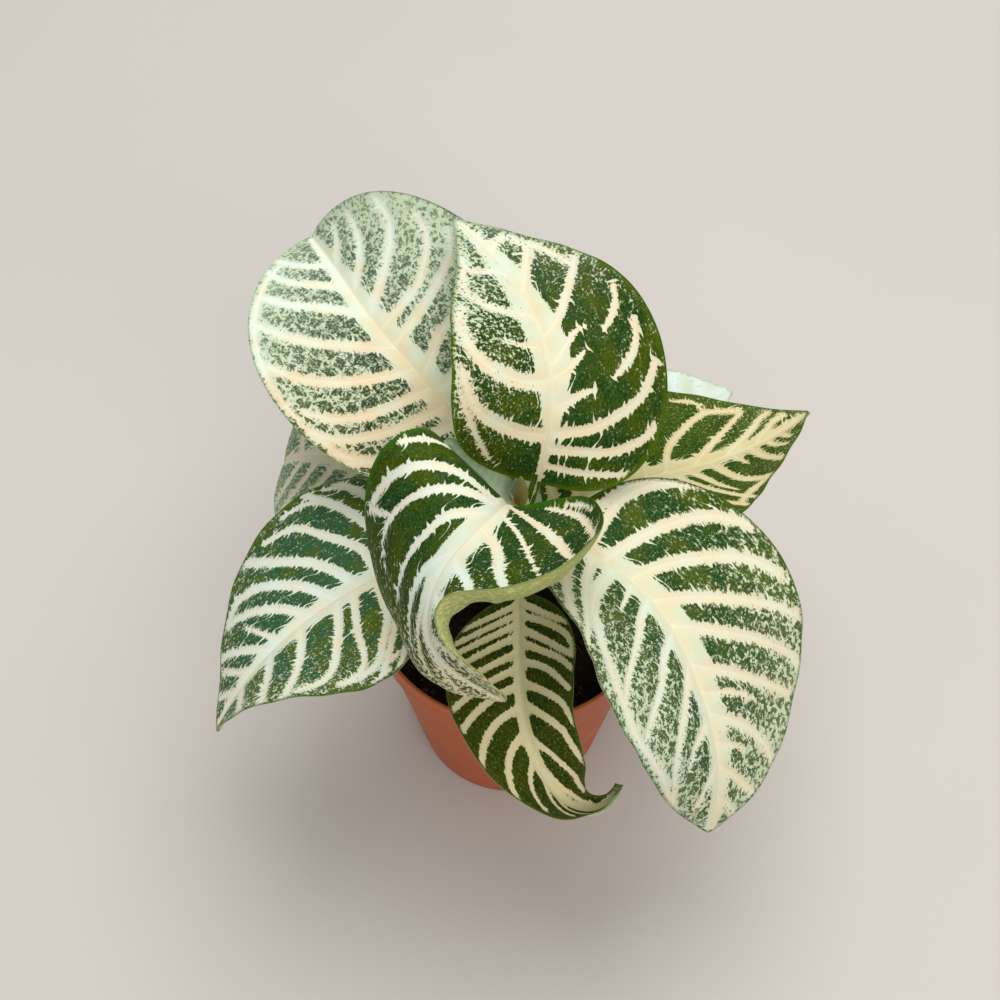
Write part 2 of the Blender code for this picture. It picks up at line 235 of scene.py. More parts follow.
pot_section = pot_profile()
pot = make_piece(
    "pot",
    turned(pot_section, POT_TURN_STEPS),
    sheet_faces(len(pot_section), POT_TURN_STEPS, joined=True),
    moulded_polypropylene(),
    "pot_plastic",
    merge=True,
)
drains = drain_cutter()
drilling = pot.modifiers.new("drainage", "BOOLEAN")
drilling.operation = "DIFFERENCE"
drilling.solver = "EXACT"
drilling.object = drains
bpy.context.view_layer.update()
pot_drilled = bpy.data.meshes.new_from_object(pot.evaluated_get(bpy.context.evaluated_depsgraph_get()))
pot.modifiers.remove(drilling)
pot.data = pot_drilled
pot.data.shade_smooth()
pot.data.set_sharp_from_angle(angle=POT_CREASE)
bpy.data.objects.remove(drains)


# The soil
# Dark peat potting soil, pressed loosely round the root ball and filled to a finger's width below the lip. Its
# top is lumpy, with loose crumbs and a few short pieces of brown fibre.

SOIL_TOP = 0.063
SOIL_GAP = 0.0003
SOIL_RINGS = 70
SOIL_STEPS = 150
# The lumps' lengths and heights, then the crumbs, of which every nineteenth is a fibre of these half sizes
SOIL_LUMPS = ((0.021, 0.0005), (0.011, 0.0004), (0.006, 0.0003), (0.0032, 0.00022), (0.0018, 0.00014))
CRUMB_COUNT = 850
CRUMB_LEAST = 0.0003
CRUMB_SPREAD = 0.0009
FIBRE_EVERY = 19
FIBRE_HALF = (0.0022, 0.00022, 0.00022)


def soil_height(x, y):
    """The soil's lumps: waves of falling length and height, turned to many directions and added up."""
    dice = np.random.default_rng(4)
    total = np.zeros_like(x)
    for length, height in SOIL_LUMPS:
        for _ in range(4):
            turn, phase = dice.uniform(0, 2 * np.pi, 2)
            wave = np.sin((x * math.cos(turn) + y * math.sin(turn)) * 2 * np.pi / length + phase)
            total += height * wave / 2
    return total


def soil_surface():
    """Rings about the pot's axis: a lumpy top out to the wall, then down the tapered side to a flat bottom."""
    edge = wall_radius(SOIL_TOP) - POT_WALL - SOIL_GAP
    top = [(edge * ring / SOIL_RINGS, SOIL_TOP) for ring in range(SOIL_RINGS + 1)]
    low = POT_FLOOR + SOIL_GAP
    bottom = wall_radius(low + CORNER_ROUND) - POT_WALL - SOIL_GAP - CORNER_ROUND
    side = [(wall_radius(height) - POT_WALL - SOIL_GAP, height) for height in (0.055, 0.03, 0.01)]
    section = top + side + arc(bottom, low + CORNER_ROUND, CORNER_ROUND, 0, -90, 3) + [(0.0, low)]
    points = turned(section, SOIL_STEPS)
    rings = points[:SOIL_RINGS + 1]
    rings[..., 2] += soil_height(rings[..., 0], rings[..., 1])
    return points, sheet_faces(len(section), SOIL_STEPS, joined=True)


def soil_crumbs():
    """Loose crumbs: one 20-faced lump, stretched and turned at random, half sunk at scattered places."""
    dice = np.random.default_rng(11)
    golden = (1 + 5**0.5) / 2
    a, b = np.array([(a, b) for a in (-1, 1) for b in (-1, 1)], dtype=float).T
    corners = np.concatenate([
        np.stack([0 * a, a, b * golden], axis=-1),
        np.stack([a, b * golden, 0 * a], axis=-1),
        np.stack([b * golden, 0 * a, a], axis=-1),
    ]) / math.hypot(1, golden)
    ball = bmesh.new()
    bmesh.ops.convex_hull(ball, input=[ball.verts.new(corner) for corner in corners])
    ball.verts.index_update()
    lump = np.array([[vert.index for vert in face.verts] for face in ball.faces])
    corners = np.array([tuple(vert.co) for vert in ball.verts])
    ball.free()
    radius = np.sqrt(dice.uniform(0.01, 0.97, CRUMB_COUNT)) * (wall_radius(SOIL_TOP) - POT_WALL - 0.001)
    angle = dice.uniform(0, 2 * np.pi, CRUMB_COUNT)
    size = CRUMB_LEAST + CRUMB_SPREAD * dice.uniform(0, 1, CRUMB_COUNT) ** 2.5
    stretch = dice.uniform(0.6, 1.4, (CRUMB_COUNT, 1, 3)) * size[:, None, None]
    fibre = np.arange(CRUMB_COUNT) % FIBRE_EVERY == 0
    stretch[fibre] = FIBRE_HALF
    rough = dice.uniform(0.75, 1.25, (CRUMB_COUNT, len(corners), 1))
    turns = np.linalg.qr(dice.normal(size=(CRUMB_COUNT, 3, 3)))[0]
    turns[:, :, 2] *= np.sign(np.linalg.det(turns))[:, None]
    level = dice.uniform(0, 2 * np.pi, CRUMB_COUNT)[fibre]
    turns[fibre] = np.stack([
        np.stack([np.cos(level), -np.sin(level), 0 * level], axis=-1),
        np.stack([np.sin(level), np.cos(level), 0 * level], axis=-1),
        np.stack([0 * level, 0 * level, 0 * level + 1], axis=-1),
    ], axis=1)
    place = np.stack([radius * np.cos(angle), radius * np.sin(angle), 0 * radius], axis=-1)
    place[:, 2] = SOIL_TOP + soil_height(place[:, 0], place[:, 1]) + size * 0.2
    points = np.einsum("nij,nkj->nki", turns, corners * rough * stretch) + place[:, None]
    faces = lump[None] + (np.arange(CRUMB_COUNT) * len(corners))[:, None, None]
    kind = np.where(fibre, 1.0, dice.uniform(0, 0.55, CRUMB_COUNT))
    return points, faces.reshape(-1, 3), np.repeat(kind, len(corners))


def peat_soil():
    """Damp sphagnum peat: almost black, matt, with brown crumbs and paler dry fibres, and a grain of 1 mm."""
    made, add, shader = new_material("peat_potting_soil")
    place = add("TexCoord", {}, "Object")
    kind = add("SeparateXYZ", {"Vector": add("Attribute", {"attribute_name": "crumb"}, "Vector")})
    grain = add("TexNoise", {"Scale": 900.0, "Detail": 4.0, "Roughness": 0.7, "Vector": place})
    damp = add("TexNoise", {"Scale": 90.0, "Detail": 2.0, "Vector": place})
    mixed = add("Math", {"operation": "MULTIPLY_ADD", 0: grain, 1: damp, 2: kind})
    tint = add("ValToRGB", {"Fac": mixed})
    ramp = tint.node.color_ramp
    ramp.elements[0].position, ramp.elements[0].color = 0.10, linear("#120c09")
    ramp.elements[1].position, ramp.elements[1].color = 0.9615, linear("#6b4a30")
    ramp.elements.new(0.45).color = linear("#2c1d14")
    feed(shader, {
        "Base Color": tint, "Roughness": 0.92, "Specular IOR Level": 0.25,
        "Normal": add("Bump", {"Strength": 0.8, "Distance": 0.0004, "Height": grain}),
    })
    return made


soil_points, soil_faces = soil_surface()
crumb_points, crumb_faces, crumb_kind = soil_crumbs()
soil_points = soil_points.reshape(-1, 3)
soil_faces = np.concatenate([soil_faces[:, [0, 1, 2]], soil_faces[:, [0, 2, 3]]])
crumb_layer = np.zeros((len(soil_points) + crumb_points.size // 3, 3))
crumb_layer[len(soil_points):, 0] = crumb_kind
make_piece(
    "soil",
    np.concatenate([soil_points, crumb_points.reshape(-1, 3)]),
    np.concatenate([soil_faces, crumb_faces + len(soil_points)]),
    peat_soil(),
    "potting_soil",
    layers={"crumb": crumb_layer},
    merge=True,
)


# The stem
# One upright, soft green stem, round and smooth, with its foot in the soil. It swells to a ring at each pair of
# leaves, and it is paler and a little pink towards the growing tip.

STEM_X = 0.002
STEM_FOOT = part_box("stem")[0].z
STEM_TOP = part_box("stem")[1].z
STEM_RADIUS = 0.0024
STEM_STEPS = 40
NODE_RADIUS = 0.0030
NODE_SWELL = 0.0020
STEM_NODES = (0.084, 0.093, 0.104, 0.112, 0.120)
# Below each node a fine ring is sunk in the skin, the scar of a lost scale: its depth, place and half width
SCAR_DEPTH = 0.00012
SCAR_BELOW = 0.0012
SCAR_HALF = 0.00025


def stem_surface():
    """Round rings up the stem: the radius is even, with a soft swelling at every node, and the ends are closed."""
    height = np.linspace(STEM_FOOT, STEM_TOP, 240)
    lift = height[:, None] - np.array(STEM_NODES)
    swell = np.exp(-((lift / NODE_SWELL) ** 2)).max(axis=1)
    scar = SCAR_DEPTH * np.exp(-(((lift + SCAR_BELOW) / SCAR_HALF) ** 2)).max(axis=1)
    radius = STEM_RADIUS + (NODE_RADIUS - STEM_RADIUS) * swell - scar
    section = [(0.0, STEM_FOOT), *zip(radius, height), (0.0, STEM_TOP)]
    points = turned(section, STEM_STEPS)
    points[..., 0] += STEM_X
    return points, sheet_faces(len(section), STEM_STEPS, joined=True)


def green_bark():
    """Young herbaceous bark: satin green, olive and pinkish near the tip, with lengthwise fibres. They are drawn
    1 mm apart, because real ones are too fine to show."""
    made, add, shader = new_material("herbaceous_stem_skin")
    place = add("TexCoord", {}, "Object")
    stretched = add("Mapping", {"Scale": (900.0, 900.0, 120.0), "Vector": place})
    fibre = add("TexNoise", {"Scale": 1.0, "Detail": 3.0, "Vector": stretched})
    height = add("SeparateXYZ", {"Vector": place}, "Z")
    young = add("MapRange", {"From Min": 0.100, "From Max": 0.124, "Value": height})
    body = add("Mix", {"data_type": "RGBA", 0: fibre, 6: "#4d5f2a", 7: "#7f8f48"}, 2)
    feed(shader, {
        "Base Color": add("Mix", {"data_type": "RGBA", 0: young, 6: body, 7: "#b3a465"}, 2),
        "Normal": add("Bump", {"Strength": 0.3, "Distance": 0.0001, "Height": fibre}),
        "Roughness": 0.42,
    })
    return made


make_piece("stem", *stem_surface(), green_bark(), "green_stem", merge=True)


# The leaves
# Broad, slightly leathery blades on short stalks, in opposite pairs. Each is one blade of living leaf: a strong
# midrib, side veins that arch to the margin, and skin that puffs up a little between them. Cream follows the
# veins, and what is left between them stays green, in islands with ragged, speckled edges.

# A pair of values is for the left and the right half, and more values stand at even stations along the leaf.
# The first ones are the imported model's: the height of the node, the length, the two half widths, the form, and
# the angles in degrees. Only leaf_back_left and leaf_front_curled are smaller, by 0.2 to 0.5 mm, so that their
# puffed skin stays within the model. After them come the places of the colours:
# zone     half the width in mm of the cream along the midrib, with its soft edge
# speckle  how far cream dots fill the green islands
# net      how strong the net of cream veinlets in them is
# fade     how far their green fades
# cool     how far the cream turns to mint, a painted reflection of the sky on the blade
# olive    how far the green turns to olive
# rim      the width in mm of the margin that cream doesn't reach, and edge that of its darker seam
# soft     how softly green passes into cream, and spiked how long the cream's spikes are
# skin     the colours: warm cream, cool cream that also paints the sky's reflection, blue-green, olive green,
#          and the margin's green
# faded    the colour of faded green, veil that of cream over green, and under that of the underside
# rule     where side veins that the photo hides leave the midrib for the common arch, in percent of the length
# veins    the others: half a vein's width in mm, then pairs of mm from the midrib and percent of the length
LEAVES = {
    "leaf_back": dict(
        node=0.12, length=0.099, half=(0.03, 0.03), shape=(0.45, 1), pitch=(75, 45, 10, 0, 20),
        head=(40, 80, 105, 120, 140), roll=(30, 10, 10), fold=((10, 15, 0), (0, 20, 0)),
        curl=((10, 0), (0, 20, 0)),
        zone=((1.2, 1, 1.8, 4.5, 6, 7, 6.5, 5, 3, 1.2), (1.2, 1.5, 2.5, 5, 7, 6, 4.5, 4, 2.5, 1)),
        speckle=((0.1, 0.3, 0.6, 0.85, 0.95, 1), (0, 0, 0.08, 0.2, 0.6, 1)),
        net=((0.2, 0.35, 0.5, 0.5), (0.25, 0.35, 0.5, 0.6)), fade=2 * ((0, 0, 0, 0.1, 0.3),),
        cool=((0.1, 0.1, 0.3, 0.6, 0.7, 0.9), (0, 0.1, 0.2, 0.3, 0.7, 0.9)),
        olive=((0.9, 0.8, 0.3, 0.4, 0.6), (0.5, 0.3, 0.4, 0.6, 0.6)),
        rim=((2.5, 2.5, 1.5, 0.5, 0.4), (1, 1, 2, 2.2, 1.5, 0.8)), edge=0.7, soft=0.3,
        skin=("#e4d9b6", "#dae5d6", "#0a3412", "#3a4600", "#4c6a04"),
        veins=((
            (0.7, 13, 11, 18, 17, 24, 25, 28, 32, 30, 37),
            (1.8, 0, 22, 8, 22.5, 15, 24.5, 22, 28, 26, 33, 28, 38),
            (2.1, 0, 37, 8, 36.5, 15, 38, 21, 41, 25, 47, 25, 55, 22, 61), (0.6, 3, 47, 8, 47.5, 13, 49),
            (1.5, 0, 57.5, 8, 59.5, 14, 63, 17, 69, 14, 77, 11, 82),
            (1.2, 0, 75, 6, 78, 10, 80, 9, 88, 6, 93),
        ), (
            (0.8, 1, 13.5, 10, 14, 18, 15.5, 24, 17), (1.1, 1, 18.5, 10, 19.5, 18, 21, 25, 24.5, 28, 27.5),
            (1.2, 1, 23, 10, 25, 17, 28.5, 24, 33, 28, 39), (1.4, 1, 30, 8, 33.5, 12, 34.5),
            (1.1, 17, 37, 23, 42, 25, 48), (1.4, 1, 38, 6, 41, 10, 44), (1.2, 1, 42, 8, 49, 12, 50),
            (0.9, 16, 47.5, 21, 52, 23, 57), (1.2, 1, 51, 6, 55, 11, 61, 16, 67, 18, 70),
            (1.3, 1, 68, 5, 74, 9, 79, 11, 81, 14, 75, 16, 69), (1, 1, 85, 5, 87, 8, 86, 10, 81),
        )),
    ),
    "leaf_front_curled": dict(
        node=0.12, length=0.099, half=(0.0357, 0.0318), shape=(0.7, 1),
        pitch=(85, 55, 25, -15, -25, -25, -45), head=(235, 260, 240, 230, 265, 330, 355),
        roll=(0, -25, -20, 5, 50, 80, 95), fold=((10, 5, -5, 10, 15), (5, 10, 0, -10, 0)),
        curl=((75, 105, 115, 55, 0), (5, -5, -15, -25, 0)),
        zone=((1.2, 1.5, 2.2, 3.2, 4.2, 4.2, 3.4, 2.2, 1.4, 1),
              (1.2, 1.6, 2.8, 3.9, 4.8, 4.8, 3.6, 2.4, 1.5, 0.9)),
        speckle=((0.05, 0.15, 0.25, 0.7, 1.3, 1.5), (0, 0, 0.1, 0.4, 1.2, 1.4)),
        net=((0.3, 0.35, 0.4, 0.3), (0.1, 0.1, 0.1, 0.2)), fade=2 * ((0, 0, 0, 0.4, 0.9),),
        cool=((0.3, 0.2, 0.3, 0.8, 0.2, 0), (0.6, 0.6, 0.5, 0.9, 0.2, 0)),
        olive=((0.3, 0.3, 0.4, 0.7, 0.9, 1), (0.3, 0.45, 0.4, 0.5, 0.9, 1)),
        rim=((1.2, 1.2, 1, 0.5, 0.3), (1.6, 1.4, 1, 0.5, 0.3)), edge=0.7, soft=0.25,
        skin=("#e8dec0", "#dbeadd", "#06341c", "#344400", "#34680c"), faded="#6c6a1a",
        veil="#c9be8c", under="#bfc67a",
        veins=((
            (0.7, 10, 12, 20, 21, 28, 29.5), (0.5, 15, 14, 25, 22),
            (1.4, 1, 21.5, 8, 23.5, 15, 27, 22, 32.5, 25, 35, 28, 42), (0.7, 2, 30, 8, 32, 15, 37.5, 20, 41),
            (1.4, 1, 39, 7, 41, 12, 46, 18, 50, 24, 56), (1.3, 0, 50, 8, 54, 14, 59, 19, 66),
            (1.2, 0, 60, 6, 64, 11, 69, 15, 76), (1, 0, 72, 5, 76, 9, 81, 12, 88),
        ), (
            (0.9, 1, 16, 8, 17.5, 15, 20, 22, 25), (0.8, 20, 25, 26, 32, 30, 37),
            (1.3, 1, 26, 6, 28, 12, 30.5, 20, 36, 25, 42, 29, 50),
            (1.3, 1, 28, 5, 31, 10, 35, 15, 40, 19, 46, 23, 54, 22, 59),
            (1.2, 1, 34, 4, 37.5, 8, 43, 10, 50, 13, 57, 17, 64), (0.5, 21, 50.5, 26, 51, 30, 51.5),
            (1.2, 0, 48, 5, 56, 9, 64, 13, 72), (1.1, 0, 60, 4, 67, 8, 74, 11, 81),
            (0.9, 0, 76, 4, 82, 7, 88, 8, 92),
        )),
    ),
    "leaf_back_left": dict(
        node=0.112, length=0.1135, half=(0.037, 0.0397), shape=(0.65, 0.6),
        pitch=(35, 10, -10), head=(115, 130, 130, 120, 120), roll=(-10, -10, -20),
        fold=((0, 5, 20), (5, 5, 30)), curl=((-10, -10, 10), (-5, -5, 10)),
        zone=((1.2, 2.5, 3.8, 4.8, 5.2, 5.2, 4.5, 3.5, 2.4, 1.2),
              (1.2, 2.2, 3.8, 5, 5.4, 5, 4.2, 3.2, 2.2, 1)),
        speckle=((0.1, 0.12, 0.25, 0.4, 0.55, 0.65), (0.2, 0.3, 0.45, 0.6, 0.75, 0.85)),
        net=((0.7, 0.9, 0.9, 0.7), (0.7, 0.9, 0.9, 0.8)),
        fade=((0, 0, 0.05, 0.3, 0.6), (0, 0.1, 0.2, 0.35, 0.45)),
        cool=((0, 0, 0, 0.3, 0.8, 1), (0, 0, 0.2, 0.5, 0.8, 0.9)),
        olive=((0.7, 0.5, 0.2, 0.1, 0.1), (0.7, 0.6, 0.3, 0.4, 0.3)),
        rim=((0.5, 0.5, 0.2, 0), (0.5, 0.4, 0.2, 0)), edge=0.35, soft=0.7,
        skin=("#e6d6b2", "#deeedf", "#0a3424", "#3c4614", "#44663a"),
        rule=((11, 17, 22.5), (11, 17, 23.5, 30)),
        veins=((
            (1.35, 0, 28, 12, 29.5, 25, 32, 30, 36, 34, 40), (0.8, 31, 36, 33.5, 42, 35, 49),
            (1, 35.2, 50, 35.8, 60, 33.6, 70, 29.2, 79, 21.5, 88, 14, 93),
            (1.35, 0, 33, 10, 34.5, 20, 37, 30, 42, 35, 48),
            (1.35, 0, 39, 10, 40.5, 20, 43, 28, 47.5, 33, 53),
            (1.35, 0, 45.5, 10, 49, 20, 54, 28, 60, 33, 66), (1.35, 0, 53, 10, 60, 20, 67, 26, 73, 30, 78),
            (1.3, 0, 65.5, 10, 73.5, 18, 79, 24, 85), (1.2, 0, 76, 10, 83, 15, 87, 18, 92),
            (1.05, 0, 86, 8, 90, 14, 95.5),
        ), (
            (1.3, 0, 37, 8, 38.5, 20, 42, 30, 48), (1.3, 0, 43, 5, 45, 12, 49, 18, 50, 28, 55, 34, 60),
            (1.4, 0, 54, 10, 56.5, 20, 60, 29, 64.5, 33, 70), (1.25, 0, 60, 15, 63, 20, 66, 27, 72, 29, 78),
            (1.3, 0, 65.5, 10, 72, 18, 78, 22, 83, 23, 88), (1.2, 0, 74, 8, 81, 12, 87, 14, 93),
            (1.35, 0, 85, 5, 90, 8, 95),
        )),
    ),
    "leaf_front_right": dict(
        node=0.112, length=0.113, half=(0.038, 0.036), shape=(0.7, 0.9),
        pitch=(40, -5, -25, -40, -65), head=(320, 325, 300, 285, 245), roll=(0, -15, -35),
        fold=((25, 10, -10), (20, 15, 5)), curl=((10, 5, -5), (15, 10, -10)),
        zone=((1.2, 2.2, 4, 5.5, 6.8, 7, 6.2, 5, 3.4, 1.2), (1.2, 2, 3.5, 4.5, 4.5, 4, 3.5, 3, 2.5, 1)),
        speckle=((0.05, 0.15, 0.35, 0.55, 0.75, 0.85), (0.1, 0.25, 0.45, 0.6, 0.7, 0.8)),
        net=((0, 0.3, 0.7, 0.9), (0.3, 0.6, 0.9, 0.9)),
        fade=((0, 0, 0.12, 0.25), (0, 0.05, 0.15, 0.15)),
        cool=((0.4, 0.3, 0.15, 0.1, 0.1, 0.2), (0.4, 0.5, 0.6, 0.6, 0.5, 0.4)),
        olive=((0.5, 0.35, 0.4, 0.6, 0.8), (0.5, 0.4, 0.3, 0.4, 0.6)),
        rim=((0.8, 0.6, 0.4, 0.4), (1.2, 1.2, 0.6, 0.4)), edge=0.5, soft=0.4,
        skin=("#e2dbbc", "#d8e5d4", "#0c3a18", "#42500a", "#3c5c0c"), rule=((12,), (11, 16, 21)),
        veins=((
            (1.2, 0, 17.5, 5, 18.5, 17, 19, 27, 24, 33, 29),
            (1.4, 0, 23.5, 10, 26.5, 20, 30, 30, 34.5, 36, 39),
            (1.4, 0, 31, 10, 34.5, 20, 38.5, 30, 43, 36, 48),
            (1.4, 0, 38.5, 10, 43, 20, 47.5, 30, 52, 36, 56), (1.4, 0, 45.5, 10, 51, 20, 56, 30, 62, 33, 66),
            (1.4, 0, 56, 10, 61, 20, 66.5, 28, 71), (0.8, 0, 63, 10, 66, 16, 69),
            (1.3, 0, 68, 10, 73.5, 15, 77.5, 18, 81, 20, 85), (0.7, 0, 75.5, 5, 77, 9, 79),
            (1.2, 0, 81, 6, 85, 12, 90), (0.9, 0, 89, 4, 92, 7, 95),
        ), (
            (1.6, 0, 26.5, 8, 27, 15, 28, 22, 31, 28, 38, 30, 45, 31, 55, 30, 65, 24, 74, 17, 86),
            (0.7, 2, 32.5, 12, 35), (1.2, 0, 37.5, 8, 40, 14, 44, 20, 48, 27, 53, 31, 58),
            (1.2, 0, 47, 8, 51, 14, 57, 20, 61, 27, 66), (1.1, 1, 56, 8, 64, 12, 68, 16, 74, 17, 80, 15, 90),
            (1, 2, 70, 8, 74, 11, 78), (0.9, 0, 80, 4, 85, 7, 91),
        )),
    ),
    "leaf_right": dict(
        node=0.104, length=0.103, half=(0.031, 0.029), shape=(0.75, 1.05),
        pitch=(20, -10, -20, 0, 20), head=(40, 30, 30, 25, 35), roll=(0, -5, -15),
        fold=((10, 15), (10, 20)), curl=((5, 10), (5, 5, 20)),
        zone=((1.2, 2.2, 3, 3.8, 4, 3.8, 3.2, 2.6, 2, 1),
              (1.2, 2.2, 3.2, 4, 4.4, 4.4, 3.6, 2.8, 2.2, 1.2)),
        speckle=((0, 0.05, 0.1, 0.15, 0.3, 0.5), (0, 0.05, 0.05, 0.1, 0.3, 0.5)),
        cool=2 * ((0, 0, 0, 0.1, 0.1),), olive=((0.8, 0.8, 0.8, 0.7, 0.8), (0.8, 0.8, 0.7, 0.7, 0.8)),
        rim=((1.5, 1.2, 0.8), (1, 0.6, 0.4)), edge=0.6, soft=0.5, spiked=0.75,
        skin=("#d6ca9a", "#d8dcba", "#1c3c06", "#364a00", "#4a6208"),
        rule=((11, 18, 26, 34, 42), (12, 19, 27, 35, 43, 50)),
        veins=((
            (1, 0, 49, 1, 50, 8, 55, 13, 63, 16, 70, 16, 75, 13, 83), (0.9, 1, 61, 5, 68, 9, 76, 12, 83),
            (0.9, 1, 72, 4, 80, 7, 87, 8, 91), (0.8, 1, 82, 4, 90, 4, 94), (0.6, 24, 64, 21, 71, 17, 72),
        ), (
            (1.5, 1, 56, 8, 58, 13, 59, 19, 62), (1.6, 1, 65, 8, 65.5, 14, 67, 18, 71, 20, 74),
            (1.1, 20, 74, 22, 65, 25, 57), (1, 1, 73, 5, 73.5, 8, 74), (1.4, 1, 79, 8, 79.5, 14, 82),
            (0.9, 1, 84.5, 5, 85, 8, 87), (0.9, 1, 89, 5, 90),
        )),
    ),
    "leaf_left": dict(
        node=0.104, length=0.105, half=(0.033, 0.035), shape=(0.8, 0.95),
        pitch=(35, -15, -20, -25, -40), head=(195, 195, 205, 220, 235), roll=(5, 5, 45),
        fold=((10, 5, 15), (5, 10, 5)), curl=((5, 10), (-5, -5)),
        zone=2 * ((1.2, 1.8, 2.5, 3, 3.5, 3.5, 3.5, 3, 2.5, 1.2),),
        speckle=((0, 0.05, 0.25, 0.4, 0.6, 0.7), (0, 0, 0.1, 0.2, 0.4, 0.6)),
        net=((0.1, 0.2, 0.3), (0.1, 0.3, 0.4)),
        cool=((0, 0.1, 0.3, 0.5, 0.5, 0.2), (0, 0.2, 0.5, 0.7, 0.6, 0.2)),
        olive=((0.5, 0.5, 0.6, 0.5, 0.3), (0.5, 0.4, 0.2, 0.2, 0.3)),
        rim=((1, 0.8, 0.4, 0.3), (0.8, 0.6, 0.4, 0.3)), edge=0.5, soft=0.4,
        skin=("#e7dfc0", "#dbebe0", "#28543e", "#4c5a1a", "#40681c"), rule=2 * ((11, 17, 24, 31),),
        veins=((
            (1.3, 0, 38.5, 8, 38.7, 15, 39, 22, 43, 27, 46, 29, 52, 29, 60),
            (1.1, 0, 45.5, 8, 47.5, 15, 49, 22, 49.5, 27, 52, 29, 58),
            (1.3, 0, 51, 8, 53, 15, 56, 22, 60, 25, 65, 24, 72),
            (1.3, 0, 63, 8, 65.5, 15, 69.5, 22, 74.5, 24, 76), (1.2, 0, 74, 8, 77, 14, 80, 20, 82),
            (1, 0, 86, 8, 87.5, 14, 89), (0.5, 27, 38, 29, 43), (0.5, 31, 43, 33, 50),
        ), (
            (1.2, 0, 37.5, 5, 38.5, 10, 39.5, 15, 43, 20, 47, 27, 52, 30, 60),
            (1.3, 0, 44, 8, 48, 15, 53, 21, 59, 27, 64, 30, 66),
            (1.3, 0, 51, 8, 56, 14, 61, 20, 67, 23, 73, 22, 78),
            (1.2, 0, 59, 8, 64.5, 14, 70, 19, 76, 21, 79), (0.7, 1, 70, 8, 73, 14, 75.5),
            (1.1, 0, 73, 8, 79, 14, 84, 16, 87), (0.9, 1, 81, 3, 83, 8, 86, 12, 88),
            (0.8, 0, 87.5, 5, 92, 9, 94.5), (0.6, 20, 36.5, 28, 42, 32, 48, 33, 54),
            (0.6, 27, 34, 31, 38, 33, 42),
        )),
    ),
    "leaf_front_low": dict(
        node=0.093, length=0.093, half=(0.018, 0.02), shape=(0.7, 1.4),
        pitch=(5, -5, -10, -45, 15), head=(270, 270, 280, 330, 430), roll=(5, 10, -15),
        fold=((10, 35, 40), (-5, 25, 55)), curl=((-5, 5, 20), (-10, 15, 35)),
        zone=2 * ((1.2, 1.4, 1.8, 2, 2, 2, 1.8, 1.4, 1, 0.6),), speckle=2 * ((0, 0, 0, 0.05, 0.1),),
        cool=2 * ((0, 0, 0),), olive=2 * ((0.6, 0.6, 0.6),), rim=2 * ((0.4, 0.4, 0.3),), edge=0.5,
        soft=0.5, spiked=0.22, skin=("#eee4b8", "#eeecd4", "#1e320a", "#3a3e08", "#4e6014"),
        veins=((
            (0.85, 0, 11.5, 2, 12.5, 8, 17, 16, 22.3), (0.85, 0, 15, 2, 16.5, 8, 20, 15, 26, 19, 34),
            (0.85, 0, 20, 2, 21.5, 8, 26, 14, 31, 19, 35.2),
            (0.85, 0, 24.5, 2, 26, 8, 30, 14, 34.5, 19, 40.3),
            (0.85, 0, 30.5, 2, 32, 7, 34.5, 12, 39, 17, 45.7),
            (0.85, 0, 37.5, 2, 39, 7, 42.5, 12, 47, 15, 52, 18, 67),
            (0.85, 0, 44, 2, 46, 7, 51, 11, 56, 12, 61, 13, 91),
            (0.6, 0, 54, 1, 56, 5, 62, 7, 70, 6, 78, 5, 84), (0.5, 0, 65, 1, 67, 2.5, 78, 1.5, 88),
        ), (
            (0.85, 0, 11.5, 8, 16, 19, 22.1), (0.85, 0, 15, 8, 19.5, 19, 26.2),
            (0.85, 0, 18.5, 8, 23, 20, 30.2), (0.85, 0, 22.5, 8, 27, 20, 34.8),
            (0.85, 0, 28, 8, 32.5, 20, 40.3), (0.85, 0, 33, 8, 37.5, 20, 46.5),
            (0.85, 0, 38.5, 8, 43, 19, 51.6), (0.85, 0, 45.5, 8, 50, 18, 58.7),
            (0.85, 0, 53.5, 7, 58, 15, 66), (0.6, 0, 61, 6, 66, 10, 71), (0.6, 0, 68, 4, 73, 7, 78),
            (0.5, 0, 73, 3, 78, 5, 84),
        )),
    ),
    "leaf_left_low": dict(
        node=0.093, length=0.094, half=(0.031, 0.03), shape=(0.7, 0.6), pitch=(30, -10, -50),
        head=(145, 150), roll=(-5, -20), fold=((5, 5), (5, 10)), curl=((0, -5), (0, 5)),
        zone=2 * ((1.2, 2, 3, 4, 4.5, 4, 4, 3, 2, 1.2),), speckle=2 * ((0.2, 0.35, 0.5, 0.7, 0.8),),
        fade=2 * ((0.2, 0.3, 0.4),), cool=((0, 0.1, 0.3, 0.4), (0, 0.1, 0.2, 0.2)),
        olive=2 * ((0.5, 0.5, 0.4),), edge=0.4, soft=0.7,
        skin=("#e9dcb8", "#e0ecd6", "#3a5438", "#4a5c28", "#587238"),
        rule=((11, 18, 26, 34, 42, 50, 59, 68, 77, 86), (12, 19, 27, 35, 44, 53, 62, 71, 80, 88)),
    ),
    "leaf_right_low": dict(
        node=0.084, length=0.102, half=(0.028, 0.027), shape=(0.7, 0.9),
        pitch=(25, 0, -10, -5, 5), head=(65, 60, 50, 30, 20), roll=(0, -5),
        fold=((5, 15), (10, 15)), curl=((0, 0), (0, 5)),
        zone=2 * ((1.2, 2, 3, 4, 5, 9, 14, 20, 20, 20),), speckle=2 * ((0.1, 0.2, 0.4, 0.8, 1),),
        fade=2 * ((0.3, 0.6, 0.9),), cool=2 * ((0.2, 0.4, 0.8, 1, 1),), olive=2 * ((0.4, 0.3, 0.2),),
        edge=0.3, soft=0.7, skin=("#dfe6d4", "#dcefea", "#587860", "#647a4c", "#7c9a72"),
